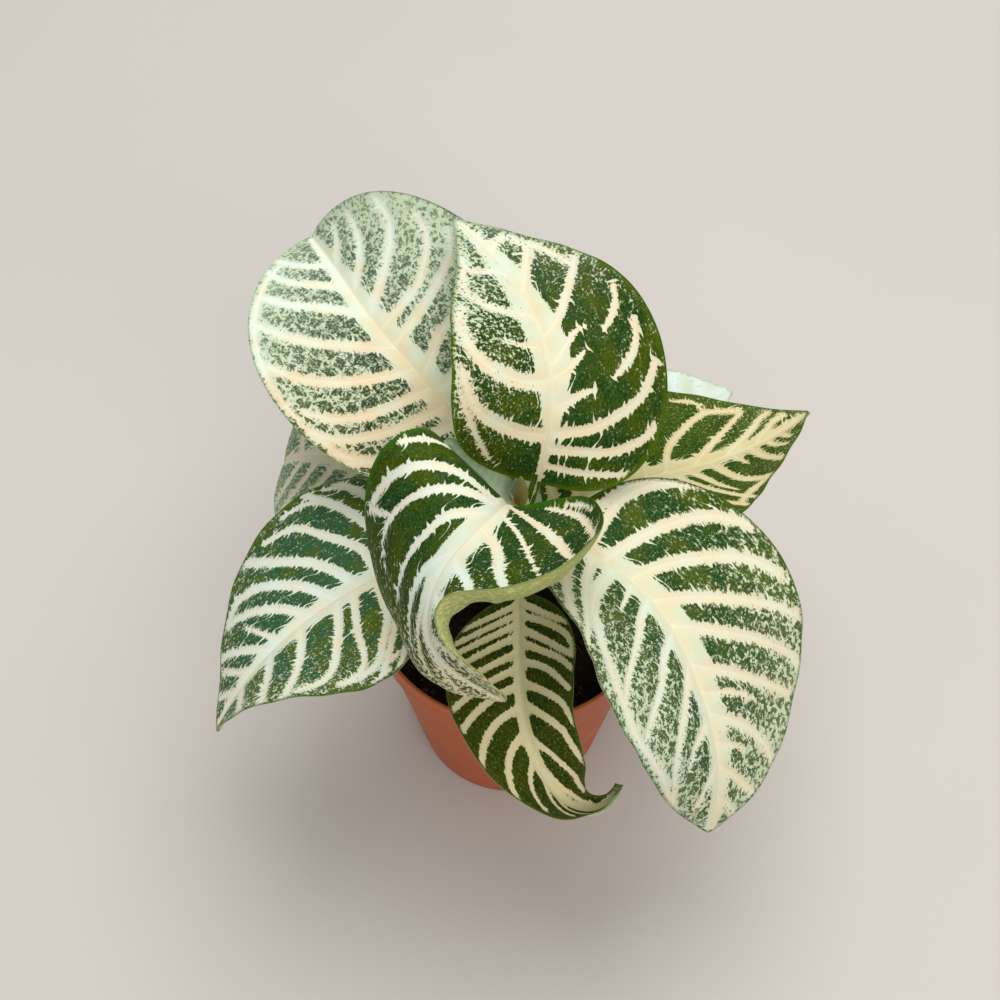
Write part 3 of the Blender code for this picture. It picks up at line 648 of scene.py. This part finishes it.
        rule=((12, 20, 28, 37, 46, 55, 64, 73, 82, 90), (11, 18, 26, 34, 43, 52, 61, 70, 79, 88)),
    ),
}

LEFT, RIGHT = 0, 1
NOTHING = 2 * ((0.0, 0.0),)

# Half the width of a stalk, how it narrows to the tip, the share of the length that is stalk, the gap that the
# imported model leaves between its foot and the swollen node, and how far the foot runs on, into the node
STALK_HALF_WIDTH = 0.0012
STALK_TAPER = 0.6
STALK_SHARE = 0.08
STALK_GAP = 0.0003
STALK_SUNK = 0.0010

# The cells of a blade are this wide and a little shorter, and the blade is this thick away from its ribs
CELL = 0.00062
CELL_SHORTER = 0.95
BLADE_THICKNESS = 0.00055

# The relief of the skin: how far it lies below the model's surface, how high it puffs up between the veins, how
# high the margin's waves are and how deep the groove over the midrib is, then the ribs' heights below
SKIN_SUNK = 0.00045
PUFF_HEIGHT = 0.00042
WAVE_HEIGHT = 0.00022
GROOVE_DEPTH = 0.00030
MIDRIB_HEIGHT = 0.00125
SIDE_RIB_HEIGHT = 0.00018


def along(values, share):
    """A smooth line through values at even stations, read at shares of its length from 0 to 1: the cubic whose
    slope at each station is half the step from the station before to the one after."""
    values = np.array([2 * values[0] - values[1], *values, 2 * values[-1] - values[-2]], dtype=float)
    place = np.asarray(share) * (len(values) - 3)
    first = np.clip(np.floor(place).astype(int), 0, len(values) - 4)
    part = place - first
    before, start, end, after = (values[first + step] for step in range(4))
    slope = end - before
    bend = 2 * before - 5 * start + 4 * end - after
    twist = 3 * (start - end) + after - before
    return start + 0.5 * part * (slope + part * (bend + part * twist))


def half_width(leaf, side, share):
    """The half width in metres: the stalk's own, which narrows to a point at the tip, and the blade's, a power of
    the way from the stalk times a power of the way to the tip."""
    grow, shrink = leaf["shape"]
    blade = np.clip((share - STALK_SHARE) / (1 - STALK_SHARE), 0.0, 1.0)
    peak = grow / (grow + shrink)
    form = blade**grow * (1 - blade)**shrink / (peak**grow * (1 - peak)**shrink)
    stalk = STALK_HALF_WIDTH * (1 - STALK_TAPER * share) * (1 - 0.8 * share**30)
    return stalk + leaf["half"][side] * form


def leaf_surface(leaf, rows, half_columns):
    """Points of the upper face, rows from the stem to the tip and columns from the right margin to the left.

    The midrib is the sum of short steps along its pitch and head. Across it, each half is the sum of short steps
    that leave it at the fold angle and turn by the curl angle times the square of the way to the margin."""
    fine = 4 * rows
    share = np.linspace(0.0, 1.0, fine + 1)
    middle = (share[1:] + share[:-1]) / 2
    pitch = np.radians(along(leaf["pitch"], middle))
    head = np.radians(along(leaf["head"], middle))
    step = np.stack([np.cos(pitch) * np.cos(head), np.cos(pitch) * np.sin(head), np.sin(pitch)], axis=1)
    first_head = math.radians(leaf["head"][0])
    out = NODE_RADIUS + STALK_GAP
    root = np.array([STEM_X + out * math.cos(first_head), out * math.sin(first_head), leaf["node"]])
    rib = root + np.vstack([np.zeros(3), np.cumsum(step * leaf["length"] / fine, axis=0)])
    rib = rib[::4]
    rib[0] -= STALK_SUNK * np.array([math.cos(first_head), math.sin(first_head), 0.0])

    share = share[::4]
    pitch, head, roll = (np.radians(along(leaf[turn], share)) for turn in ("pitch", "head", "roll"))
    roll = roll[:, None]
    level = np.stack([-np.sin(head), np.cos(head), 0 * head], axis=1)
    normal = np.stack([-np.sin(pitch) * np.cos(head), -np.sin(pitch) * np.sin(head), np.cos(pitch)], axis=1)
    sideways = level * np.cos(roll) + normal * np.sin(roll)
    up = normal * np.cos(roll) - level * np.sin(roll)

    steps = 10 * half_columns
    between = (np.arange(steps) + 0.5) / steps
    reach = np.linspace(0.0, 1.0, half_columns + 1) ** 1.2
    places = np.round(reach * steps).astype(int)
    halves = []
    for sign, side in ((-1, RIGHT), (1, LEFT)):
        width = half_width(leaf, side, share)[:, None] / steps
        fold, curl = (along(leaf[turn][side], share)[:, None] for turn in ("fold", "curl"))
        angle = np.radians(fold + curl * between**2)
        over, lift = (
            (np.hstack([np.zeros((rows + 1, 1)), np.cumsum(part, axis=1)]) * width)[:, places]
            for part in (np.cos(angle), np.sin(angle))
        )
        halves.append(rib[:, None] + sign * sideways[:, None] * over[..., None] + up[:, None] * lift[..., None])
    return np.concatenate([halves[0][:, :0:-1], halves[1]], axis=1), share, places / steps


def side_veins(leaf, side):
    """The side veins as smooth lines on the flat blade, in mm from the midrib and from the stem, each with its
    half width. A vein by rule leaves the midrib at its root and bends towards the tip with the square of its
    way out."""
    lines = [(vein[0], vein[1::2], np.array(vein[2::2]) / 100) for vein in leaf.get("veins", ((), ()))[side]]
    for percent in leaf.get("rule", ((), ()))[side]:
        root = percent / 100
        way = np.array([0.0, 0.35, 0.7, 1.0])
        rise = (0.06 * way + 0.10 * way**2) * (1.1 - 0.3 * root)
        lines.append((1.2 * (1.1 - 0.4 * root), way * 1000 * leaf["half"][side], root + rise))
    for half, out, share in lines:
        place = np.linspace(0, 1, 4 * (len(out) - 1) + 1)
        yield half, np.stack([along(out, place), along(share, place) * leaf["length"] * 1000], axis=1)


def line_distance(points, line):
    """For each point, the distance to a line of straight steps, and how far along the line its nearest place is,
    which counts on straight past both ends, and then the line's length."""
    start, step = line[:-1], np.diff(line, axis=0)
    length = np.hypot(step[:, 0], step[:, 1])
    offset = points[:, None] - start
    free = (offset * step).sum(axis=-1) / length**2
    part = np.clip(free, 0.0, 1.0)
    apart = offset - part[..., None] * step
    apart = np.hypot(apart[..., 0], apart[..., 1])
    part[:, 0] = np.minimum(free[:, 0], 1.0)
    part[:, -1] = np.maximum(free[:, -1], 0.0)
    nearest = apart.argmin(axis=1)
    every = np.arange(len(points))
    passed = np.concatenate([[0.0], np.cumsum(length)])[nearest] + part[every, nearest] * length[nearest]
    return apart[every, nearest], passed, length.sum()


def soft_least(first, second, reach):
    """The smaller of two values, rounded off where they differ by less than reach."""
    near = np.maximum(reach - np.abs(first - second), 0.0) / reach
    return np.minimum(first, second) - near**2 * reach / 4


def blade_fields(leaf, side, out, height, share):
    """Layers of a half blade, from mm out of the midrib and up from the stem: depth into the green island, the
    distance to the margin, the distance to the nearest vein's middle, and the way along the side veins.

    A vein narrows along its way, to a point where it ends well inside the margin or starts far from the midrib.
    The zone along the midrib is cream to four fifths of its width, where its soft edge begins.
    The way along is the mean over all veins, weighted by the inverse cube of their distance."""
    points = np.stack([out.reshape(-1), height.reshape(-1)], axis=1)
    depth, middle = np.full((2, len(points)), 30.0)
    passed_sum, weight_sum = np.zeros((2, len(points)))
    for half, line in side_veins(leaf, side):
        apart, passed, length = line_distance(points, line)
        room = half_width(leaf, side, line[-1, 1] / leaf["length"] / 1000) * 1000 - line[-1, 0]
        point = np.clip((room - 3) / 4, 0.0, 1.0)
        loose = np.clip((line[0, 0] - 4) / 6, 0.0, 1.0)
        way = np.clip(passed / length, 0.0, 1.0)
        taper = 1.1 - 0.4 * way - 0.6 * point * way**2 - 0.9 * loose * (1 - way) ** 4
        depth = soft_least(depth, apart - half * taper, 0.7)
        middle = soft_least(middle, apart / (0.6 + 0.4 * half), 0.6)
        weight = 1 / (apart + 0.4) ** 3
        passed_sum += weight * (passed + line[0, 0])
        weight_sum += weight
    zone = along(leaf["zone"][side], share.reshape(-1))
    depth = soft_least(depth, points[:, 0] - 0.8 * zone, 1.2)
    middle = soft_least(middle, points[:, 0] * 0.8, 1.0)
    stations = np.linspace(0, 1, 120)
    outline = np.stack([half_width(leaf, side, stations), stations * leaf["length"]], axis=1) * 1000
    margin = line_distance(points, outline)[0]
    rim = along(leaf.get("rim", 2 * ((0.3, 0.3),))[side], share.reshape(-1))
    depth = -soft_least(-depth, margin - rim, 0.6)
    return (values.reshape(out.shape) for values in (depth, margin, middle, passed_sum / weight_sum))


def make_leaf(name, leaf, finish, slot):
    """A closed thin shell on the leaf's surface. The upper skin sinks along the veins and puffs up between them,
    and the lower skin carries the ribs: a half-round midrib and low side ribs. The relief fades with the distance
    from a vein, the midrib or the margin, over the mm by which each distance is divided."""
    rows = int(round(leaf["length"] / CELL / CELL_SHORTER))
    half_columns = int(round(max(leaf["half"]) / CELL))
    points, share, reach = leaf_surface(leaf, rows, half_columns)
    columns = 2 * half_columns + 1
    share = np.repeat(share[:, None], columns, axis=1)
    height = share * leaf["length"] * 1000
    fields = []
    for side, part in ((RIGHT, slice(half_columns, None, -1)), (LEFT, slice(half_columns, None))):
        half = half_width(leaf, side, share[:, :1]) * 1000 * reach
        fields.append((half, *blade_fields(leaf, side, half, height[:, part], share[:, part])))
    out, depth, margin, middle, passed = (
        np.concatenate([right[:, :0:-1], left], axis=1) for right, left in zip(*fields)
    )
    sign = np.where(np.arange(columns) < half_columns, -1.0, 1.0)

    normal = np.cross(np.gradient(points, axis=0), np.gradient(points, axis=1))
    normal /= np.linalg.norm(normal, axis=-1, keepdims=True) + 1e-12
    inner = 1 - np.exp(-margin / 2.5)
    puff = PUFF_HEIGHT * (1 - np.exp(-((middle / 1.7) ** 2))) * inner
    wave = WAVE_HEIGHT * (1 - inner) * np.sin(height / 2.1 + 3 * sign) * np.clip(share * 4, 0, 1)
    groove = GROOVE_DEPTH * np.exp(-((out / 0.8) ** 2)) * (1 - 0.6 * share)
    upper = puff - SKIN_SUNK - groove + wave
    midrib = MIDRIB_HEIGHT * np.sqrt(np.clip(1 - (out / 1.35) ** 2, 0, 1)) * (1 - 0.55 * share)
    side_rib = SIDE_RIB_HEIGHT * np.exp(-((middle / 0.5) ** 2)) * inner
    thick = BLADE_THICKNESS * (0.45 + 0.55 * (1 - np.exp(-margin / 1.2)))
    lower = upper - thick - midrib - side_rib

    cool, olive, speckle, fade, net = (
        np.where(sign < 0, *(along(leaf.get(word, NOTHING)[side], share) for side in (RIGHT, LEFT)))
        for word in ("cool", "olive", "speckle", "fade", "net")
    )
    outward = np.concatenate([reach[:0:-1], reach])
    speckle = speckle * (0.45 + 0.65 * outward)
    net = net * (0.3 + 0.7 * outward)
    olive = olive + 0.9 * (outward - 0.55)
    fade = np.clip(fade * (0.25 + outward), 0.0, 1.0)
    under = np.zeros_like(net)
    layers = {
        layer: np.concatenate(2 * [np.stack(parts, axis=-1).reshape(-1, 3)])
        for layer, parts in (
            ("field", (depth, margin, middle)), ("grain", (passed, out * sign, height)),
            ("tone", (cool, olive, speckle)), ("mark", (fade, net, under)),
        )
    }
    count = (rows + 1) * columns
    layers["mark"][count:, 2] = 1.0
    number = np.arange(count).reshape(rows + 1, columns)
    faces = sheet_faces(rows + 1, columns)[:, ::-1]
    rim = np.concatenate([number[0, :], number[1:, -1], number[-1, -2::-1], number[-2:0:-1, 0]])
    after = np.roll(rim, -1)
    wall = np.stack([rim, after, after + count, rim + count], axis=1)[:, ::-1]
    skins = [(points + normal * skin[..., None]).reshape(-1, 3) for skin in (upper, lower)]
    faces = np.concatenate([faces, faces[:, ::-1] + count, wall])
    return make_piece(name, np.concatenate(skins), faces, finish, slot, layers=layers)


def variegated_blade(name, leaf):
    """A living leaf's waxy skin over cream and green tissue. The eye sees satin cream that follows the veins,
    green islands with spiky, speckled edges, a thin green margin and a paler underside. The sky's highlights on
    the cream and the shade in the midrib's groove are painted into its colour."""
    made, add, shader = new_material(name + "_variegated_leaf_skin")
    # The cool cream is mint, and it also serves as the painted reflection of the sky on the blade
    warm, cool, blue_green, olive_green, margin_green = leaf["skin"]
    edge, soft, spiked = leaf["edge"], leaf.get("soft", 0.4), leaf.get("spiked", 1.0)
    field, grain, tone, mark = (
        add("Attribute", {"attribute_name": layer}, "Vector") for layer in ("field", "grain", "tone", "mark")
    )
    (depth, margin, middle), (passed, across, _), (sky_sheen_share, olived, speckle), (fade, net, under) = (
        add("SeparateXYZ", {"Vector": layer}).node.outputs for layer in (field, grain, tone, mark)
    )

    # Patterns are drawn on the flat blade in mm: fine dots 0.7 mm apart and soft clouds 9 mm wide
    flat = add("Mapping", {"Scale": (0.0, 1.0, 1.0), "Vector": grain})
    dots = add("TexNoise", {"Scale": 1.5, "Detail": 4.0, "Roughness": 0.72, "Vector": flat})
    drift = add("TexNoise", {"Scale": 0.11, "Detail": 1.0, "Vector": flat})

    # Cream spikes point from the side veins across the islands: short ones 1.0 mm apart, and a few long ones,
    # 2.3 mm apart, which the finest veins make
    left = add("Math", {"operation": "ADD", 0: depth, 1: 0.15 * spiked})
    for apart, length, narrow in ((1.0, 0.55 * spiked, 0.38), (2.3, 1.9 * spiked, 0.22)):
        shift = add("Math", {"operation": "MULTIPLY", 0: drift, 1: 6.0 / apart})
        place = add("Math", {"operation": "MULTIPLY_ADD", 0: passed, 1: 1.0 / apart, 2: shift})
        comb = add("TexVoronoi", {"voronoi_dimensions": "1D", "Scale": 1.0, "W": place})
        spike = add("MapRange", {"From Max": narrow, "To Min": length, "To Max": 0.0, "Value": comb})
        chance = add("SeparateColor", {"Color": comb.node.outputs["Color"]})
        chance = add("Math", {"operation": "POWER", 0: chance, 1: apart})
        spike = add("Math", {"operation": "MULTIPLY", 0: spike, 1: chance})
        left = add("Math", {"operation": "SUBTRACT", 0: left, 1: spike})

    # The share of green rises from the island's edge to its middle. Fine grain below that share is green and the
    # rest is cream, so that the edge is made of specks 0.3 to 0.6 mm wide
    reach = add("Math", {"operation": "MULTIPLY_ADD", 0: speckle, 1: 2.2, 2: 0.5})
    start = add("Math", {"operation": "MULTIPLY_ADD", 0: speckle, 1: 0.8, 2: 0.08})
    most = add("Math", {"operation": "MULTIPLY_ADD", 0: speckle, 1: -0.55, 2: 1.24})
    left = add("Math", {"operation": "ADD", 0: left, 1: start})
    filled = add("MapRange", {"Value": left, "From Max": reach, "To Max": most})
    coarse = add("TexNoise", {"Scale": 0.8, "Detail": 1.0, "Vector": flat})
    lumps = add("MapRange", {"From Min": 0.35, "From Max": 0.65, "To Min": 0.65, "To Max": -0.65, "Value": coarse})
    lumps = add("Math", {"operation": "MULTIPLY", 0: lumps, 1: speckle})
    filled = add("Math", {"operation": "ADD", 0: filled, 1: lumps})

    # A net of cream veinlets with meshes of about 4 mm divides the outer islands of the palest leaves
    cells = add("Mapping", {"Scale": (0.0, 0.26, 0.26), "Vector": grain})
    cells = add("VectorMath", {"operation": "MULTIPLY_ADD", 0: coarse.node.outputs[1], 1: (0.8,) * 3, 2: cells})
    cells = add("TexVoronoi", {"feature": "DISTANCE_TO_EDGE", "Scale": 1.0, "Vector": cells})
    lines = add("MapRange", {"From Max": 0.15, "To Min": 1.15, "To Max": 0.0, "Value": cells})
    lines = add("Math", {"operation": "MULTIPLY", 0: lines, 1: net})
    salt = add("MapRange", {"From Min": 0.34, "From Max": 0.66, "Value": dots})
    for cream in (lines, salt):
        filled = add("Math", {"operation": "SUBTRACT", 0: filled, 1: cream})
    green = add("MapRange", {
        "interpolation_type": "SMOOTHSTEP", "From Min": -0.14, "From Max": soft, "Value": filled,
    })

    # Green shifts between blue-green and olive in the soft clouds. It is finely grained with lighter specks, a
    # little paler along the net, and it fades where the leaf is pale
    cloud = add("MapRange", {"From Min": 0.37, "From Max": 0.63, "To Min": -0.6, "To Max": 0.6, "Value": drift})
    shift = add("Math", {"operation": "ADD", "use_clamp": True, 0: olived, 1: cloud})
    greens = add("Mix", {"data_type": "RGBA", 0: shift, 6: blue_green, 7: olive_green}, 2)
    light = add("MapRange", {"From Min": 0.42, "From Max": 0.70, "To Max": 0.4, "Value": dots})
    paler = add("MapRange", {"From Max": 0.08, "To Min": 0.10, "To Max": 0.0, "Value": cells})
    for share, colour in ((light, "#66881e"), (paler, "#7a9440"), (fade, leaf.get("faded", "#a9c0a4"))):
        greens = add("Mix", {"data_type": "RGBA", 0: share, 6: greens, 7: colour}, 2)

    # Cream is warmest along the veins. Between them it turns cool and greenish, partly from green showing through
    # thinner cream and partly as a painted highlight of the sky on the puffed skin, and the cool share set for
    # each leaf is painted sky reflection too. A painted highlight lightens each vein's raised middle, painted
    # shade darkens the groove over the midrib, and green shows through the cream that covers an island
    thin = add("MapRange", {"From Min": 0.9, "From Max": 3.2, "To Max": 0.6, "Value": middle})
    shift = add("Math", {"operation": "MULTIPLY_ADD", 0: cloud, 1: 0.5, 2: sky_sheen_share})
    shift = add("Math", {"operation": "MULTIPLY_ADD", 0: thin, 1: 0.8, 2: shift})
    shift = add("Clamp", {"Value": shift})
    creams = add("Mix", {"data_type": "RGBA", 0: shift, 6: warm, 7: cool}, 2)
    # Painted highlight: the cream is lightest along each vein's raised middle, where the ridge catches the light
    vein_ridge_highlight = add("MapRange", {"From Min": 0.10, "From Max": 0.50, "To Min": 0.3, "To Max": 0.0, "Value": middle})
    # Painted shade: a darker band of cream in the groove over the midrib
    across = add("Math", {"operation": "ABSOLUTE", 0: across})
    midrib_groove_shade = add("MapRange", {"From Min": 0.15, "From Max": 0.45, "To Min": 0.40, "To Max": 0.0, "Value": across})
    cover = add("MapRange", {"From Max": 1.5, "Value": left})
    thickest = add("Math", {"operation": "MULTIPLY_ADD", 0: fade, 1: 0.45, 2: 0.2})
    veil = add("Math", {"operation": "MULTIPLY", 0: cover, 1: thickest})
    for share, colour in ((thin, "#cfd9b8"), (vein_ridge_highlight, "#f7f4e4"), (midrib_groove_shade, "#c3c79f"),
                          (veil, leaf.get("veil", "#9cb892"))):
        creams = add("Mix", {"data_type": "RGBA", 0: share, 6: creams, 7: colour}, 2)
    skin = add("Mix", {"data_type": "RGBA", 0: green, 6: creams, 7: greens}, 2)

    # The green seam of the margin is ragged inwards and lost where the leaf is pale, and the underside is pale
    ragged = add("Math", {"operation": "MULTIPLY_ADD", 0: dots, 1: 2.4, 2: -1.2})
    ragged = add("Math", {"operation": "ADD", 0: margin, 1: ragged})
    seam = {"From Min": 0.3 * edge, "From Max": 2.0 * edge, "To Min": 0.85, "To Max": 0.0, "Value": ragged}
    dark = add("Math", {"operation": "MULTIPLY_ADD", "use_clamp": True, 0: fade, 1: -1.3, 2: 1.0})
    seam = add("Math", {"operation": "MULTIPLY", 0: add("MapRange", seam), 1: dark})
    below = add("Math", {"operation": "MULTIPLY", 0: under, 1: 0.70})
    for share, colour in ((seam, margin_green), (below, leaf.get("under", "#a9bf8e"))):
        skin = add("Mix", {"data_type": "RGBA", 0: share, 6: skin, 7: colour}, 2)
    gloss = {"From Min": 0.35, "From Max": 0.65, "To Min": 0.40, "To Max": 0.55, "Value": dots}
    relief = add("Math", {"operation": "MULTIPLY_ADD", 0: green, 1: 0.6, 2: dots})
    feed(shader, {
        "Base Color": skin, "Roughness": add("MapRange", gloss), "IOR": 1.45, "Specular IOR Level": 0.08,
        "Normal": add("Bump", {"Strength": 0.35, "Distance": 0.00008, "Height": relief}),
    })
    return made


for leaf_name, leaf in LEAVES.items():
    make_leaf(leaf_name, leaf, variegated_blade(leaf_name, leaf), "leaf_blade")


# The young leaf
# A small new leaf beside the growing tip, still folded along its midrib. It is the same kind of blade as the big
# ones, but soft and pale green, with its cream not yet parted from its green.

YOUNG = {
    "node": 0.120, "length": 0.026, "half": (0.005, 0.005), "shape": (0.6, 0.8), "pitch": (50, 40, 35),
    "head": (150, 150), "roll": (0, -10), "fold": 2 * ((0, 60, 60),), "curl": 2 * ((10, 10),),
    "zone": 2 * ((0.6, 0.6, 0.5, 0.4),), "rule": 2 * ((20, 30, 40, 50, 60, 70, 80),),
}


def pale_young_blade():
    """A new leaf's thin, waxy skin: pale mint green with slightly lighter veins."""
    made, add, shader = new_material("pale_young_leaf_skin")
    field = add("Attribute", {"attribute_name": "field"}, "Vector")
    depth = add("SeparateXYZ", {"Vector": field})
    place = add("TexCoord", {}, "Object")
    grain = add("TexNoise", {"Scale": 1500.0, "Detail": 2.0, "Vector": place})
    between = add("MapRange", {"From Min": -0.9, "From Max": 0.6, "Value": depth})
    feed(shader, {
        "Base Color": add("Mix", {"data_type": "RGBA", 0: between, 6: "#d2e4ca", 7: "#a8c8a0"}, 2),
        "Normal": add("Bump", {"Strength": 0.2, "Distance": 0.00005, "Height": grain}),
        "Roughness": 0.4,
    })
    return made


make_leaf("young_leaf", YOUNG, pale_young_blade(), "young_blade")


# The growing tip
# Two leaves not yet open, pressed face to face on top of the stem, round at the foot and pointed at the tip. They
# are soft, olive green, and pinkish where they meet.

BUD_LOW, BUD_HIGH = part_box("bud")
BUD_STEPS = 48
BUD_SEAM_DEPTH = 0.22
BUD_SEAM_TURN = 0.9
BUD_SEAM_HALF = 0.22


def bud_surface():
    """Rings up the bud: the radius swells and closes to a point, with a groove where the two leaves meet."""
    way = np.linspace(0, 1, 40)
    radius = (BUD_HIGH.x - BUD_LOW.x) / 2 * np.clip(0.78 + 0.9 * way, 0, 1) * (1 - way**2.2) ** 0.8
    height = BUD_LOW.z + (BUD_HIGH.z - BUD_LOW.z) * way
    section = [(0.0, BUD_LOW.z), *zip(radius, height)]
    points = turned(section, BUD_STEPS)
    angle = np.linspace(0, 2 * np.pi, BUD_STEPS, endpoint=False)
    groove = 1 - BUD_SEAM_DEPTH * np.exp(-((np.sin(angle - BUD_SEAM_TURN) / BUD_SEAM_HALF) ** 2))
    points[..., :2] *= groove[None, :, None]
    points[..., 0] += STEM_X
    layer = np.zeros_like(points)
    layer[..., 0] = 1 - groove
    return points, sheet_faces(len(section), BUD_STEPS, joined=True), layer


def bud_skin():
    """A bud's tender skin: satin olive green, brownish pink along the closed edges, with the stem's fibres."""
    made, add, shader = new_material("tender_bud_skin")
    seam = add("SeparateXYZ", {"Vector": add("Attribute", {"attribute_name": "seam"}, "Vector")})
    place = add("TexCoord", {}, "Object")
    stretched = add("Mapping", {"Scale": (1500.0, 1500.0, 200.0), "Vector": place})
    fibre = add("TexNoise", {"Scale": 1.0, "Detail": 2.0, "Vector": stretched})
    body = add("Mix", {"data_type": "RGBA", 0: fibre, 6: "#6c7034", 7: "#928f4c"}, 2)
    pink = add("MapRange", {"From Max": 0.2, "Value": seam})
    feed(shader, {
        "Base Color": add("Mix", {"data_type": "RGBA", 0: pink, 6: body, 7: "#a07c56"}, 2),
        "Normal": add("Bump", {"Strength": 0.3, "Distance": 0.00008, "Height": fibre}),
        "Roughness": 0.45,
    })
    return made


bud_points, bud_faces, bud_seam = bud_surface()
make_piece("bud", bud_points, bud_faces, bud_skin(), "bud_skin", layers={"seam": bud_seam}, merge=True)


# The stage
# A plain pale floor, soft daylight from above and behind, and a camera that looks down at the plant from the
# front, as the photo does.

floor_data = bpy.data.meshes.new("floor")
floor_data.from_pydata([(-3, -3, 0), (3, -3, 0), (3, 3, 0), (-3, 3, 0)], [], [(0, 1, 2, 3)])
floor = bpy.data.objects.new("floor", floor_data)
bpy.context.scene.collection.objects.link(floor)
board, board_add, board_shader = new_material("matt_pale_board")
board_place = board_add("TexCoord", {}, "Object")
board_cloud = board_add("TexNoise", {"Scale": 6.0, "Detail": 3.0, "Vector": board_place})
board_colour = board_add("Mix", {"data_type": "RGBA", 0: board_cloud, 6: "#cbc8c4", 7: "#d2cfcb"}, 2)
feed(board_shader, {"Base Color": board_colour, "Roughness": 0.85})
floor_data.materials.append(board)

scene = bpy.context.scene
scene.view_settings.view_transform = "Standard"
world = bpy.data.worlds.new("soft_daylight")
world.use_nodes = True
feed(world.node_tree.nodes["Background"], {"Color": "#f2f4f7", "Strength": 0.42})
scene.world = world

LAMP_AIM = np.array([0.0, 0.0, 0.08])
for lamp_name, lamp_place, lamp_size, lamp_power, lamp_colour in (
    ("key_light", (0.10, 0.30, 1.10), 1.1, 9.6, "#fffaf2"),
    ("front_light", (0.30, -0.90, 0.90), 1.0, 5.6, "#fff4e8"),
):
    lamp = bpy.data.lights.new(lamp_name, "AREA")
    lamp.shape = "DISK"
    lamp.size = lamp_size
    lamp.energy = lamp_power
    lamp.color = linear(lamp_colour)[:3]
    lamp_object = bpy.data.objects.new(lamp_name, lamp)
    scene.collection.objects.link(lamp_object)
    aim = LAMP_AIM - np.array(lamp_place)
    lamp_object.location = lamp_place
    turn = math.atan2(math.hypot(aim[0], aim[1]), -aim[2])
    lamp_object.rotation_euler = (turn, 0.0, math.atan2(-aim[0], aim[1]))

lens = bpy.data.cameras.new("camera")
lens.lens = 54.0
lens.sensor_width = 36.0
lens.clip_start = 0.01
camera = bpy.data.objects.new("camera", lens)
scene.collection.objects.link(camera)
camera.location = (-0.0036, -0.23476, 0.45997)
camera.rotation_euler = (math.radians(35.0), 0.0, 0.0)
scene.camera = camera
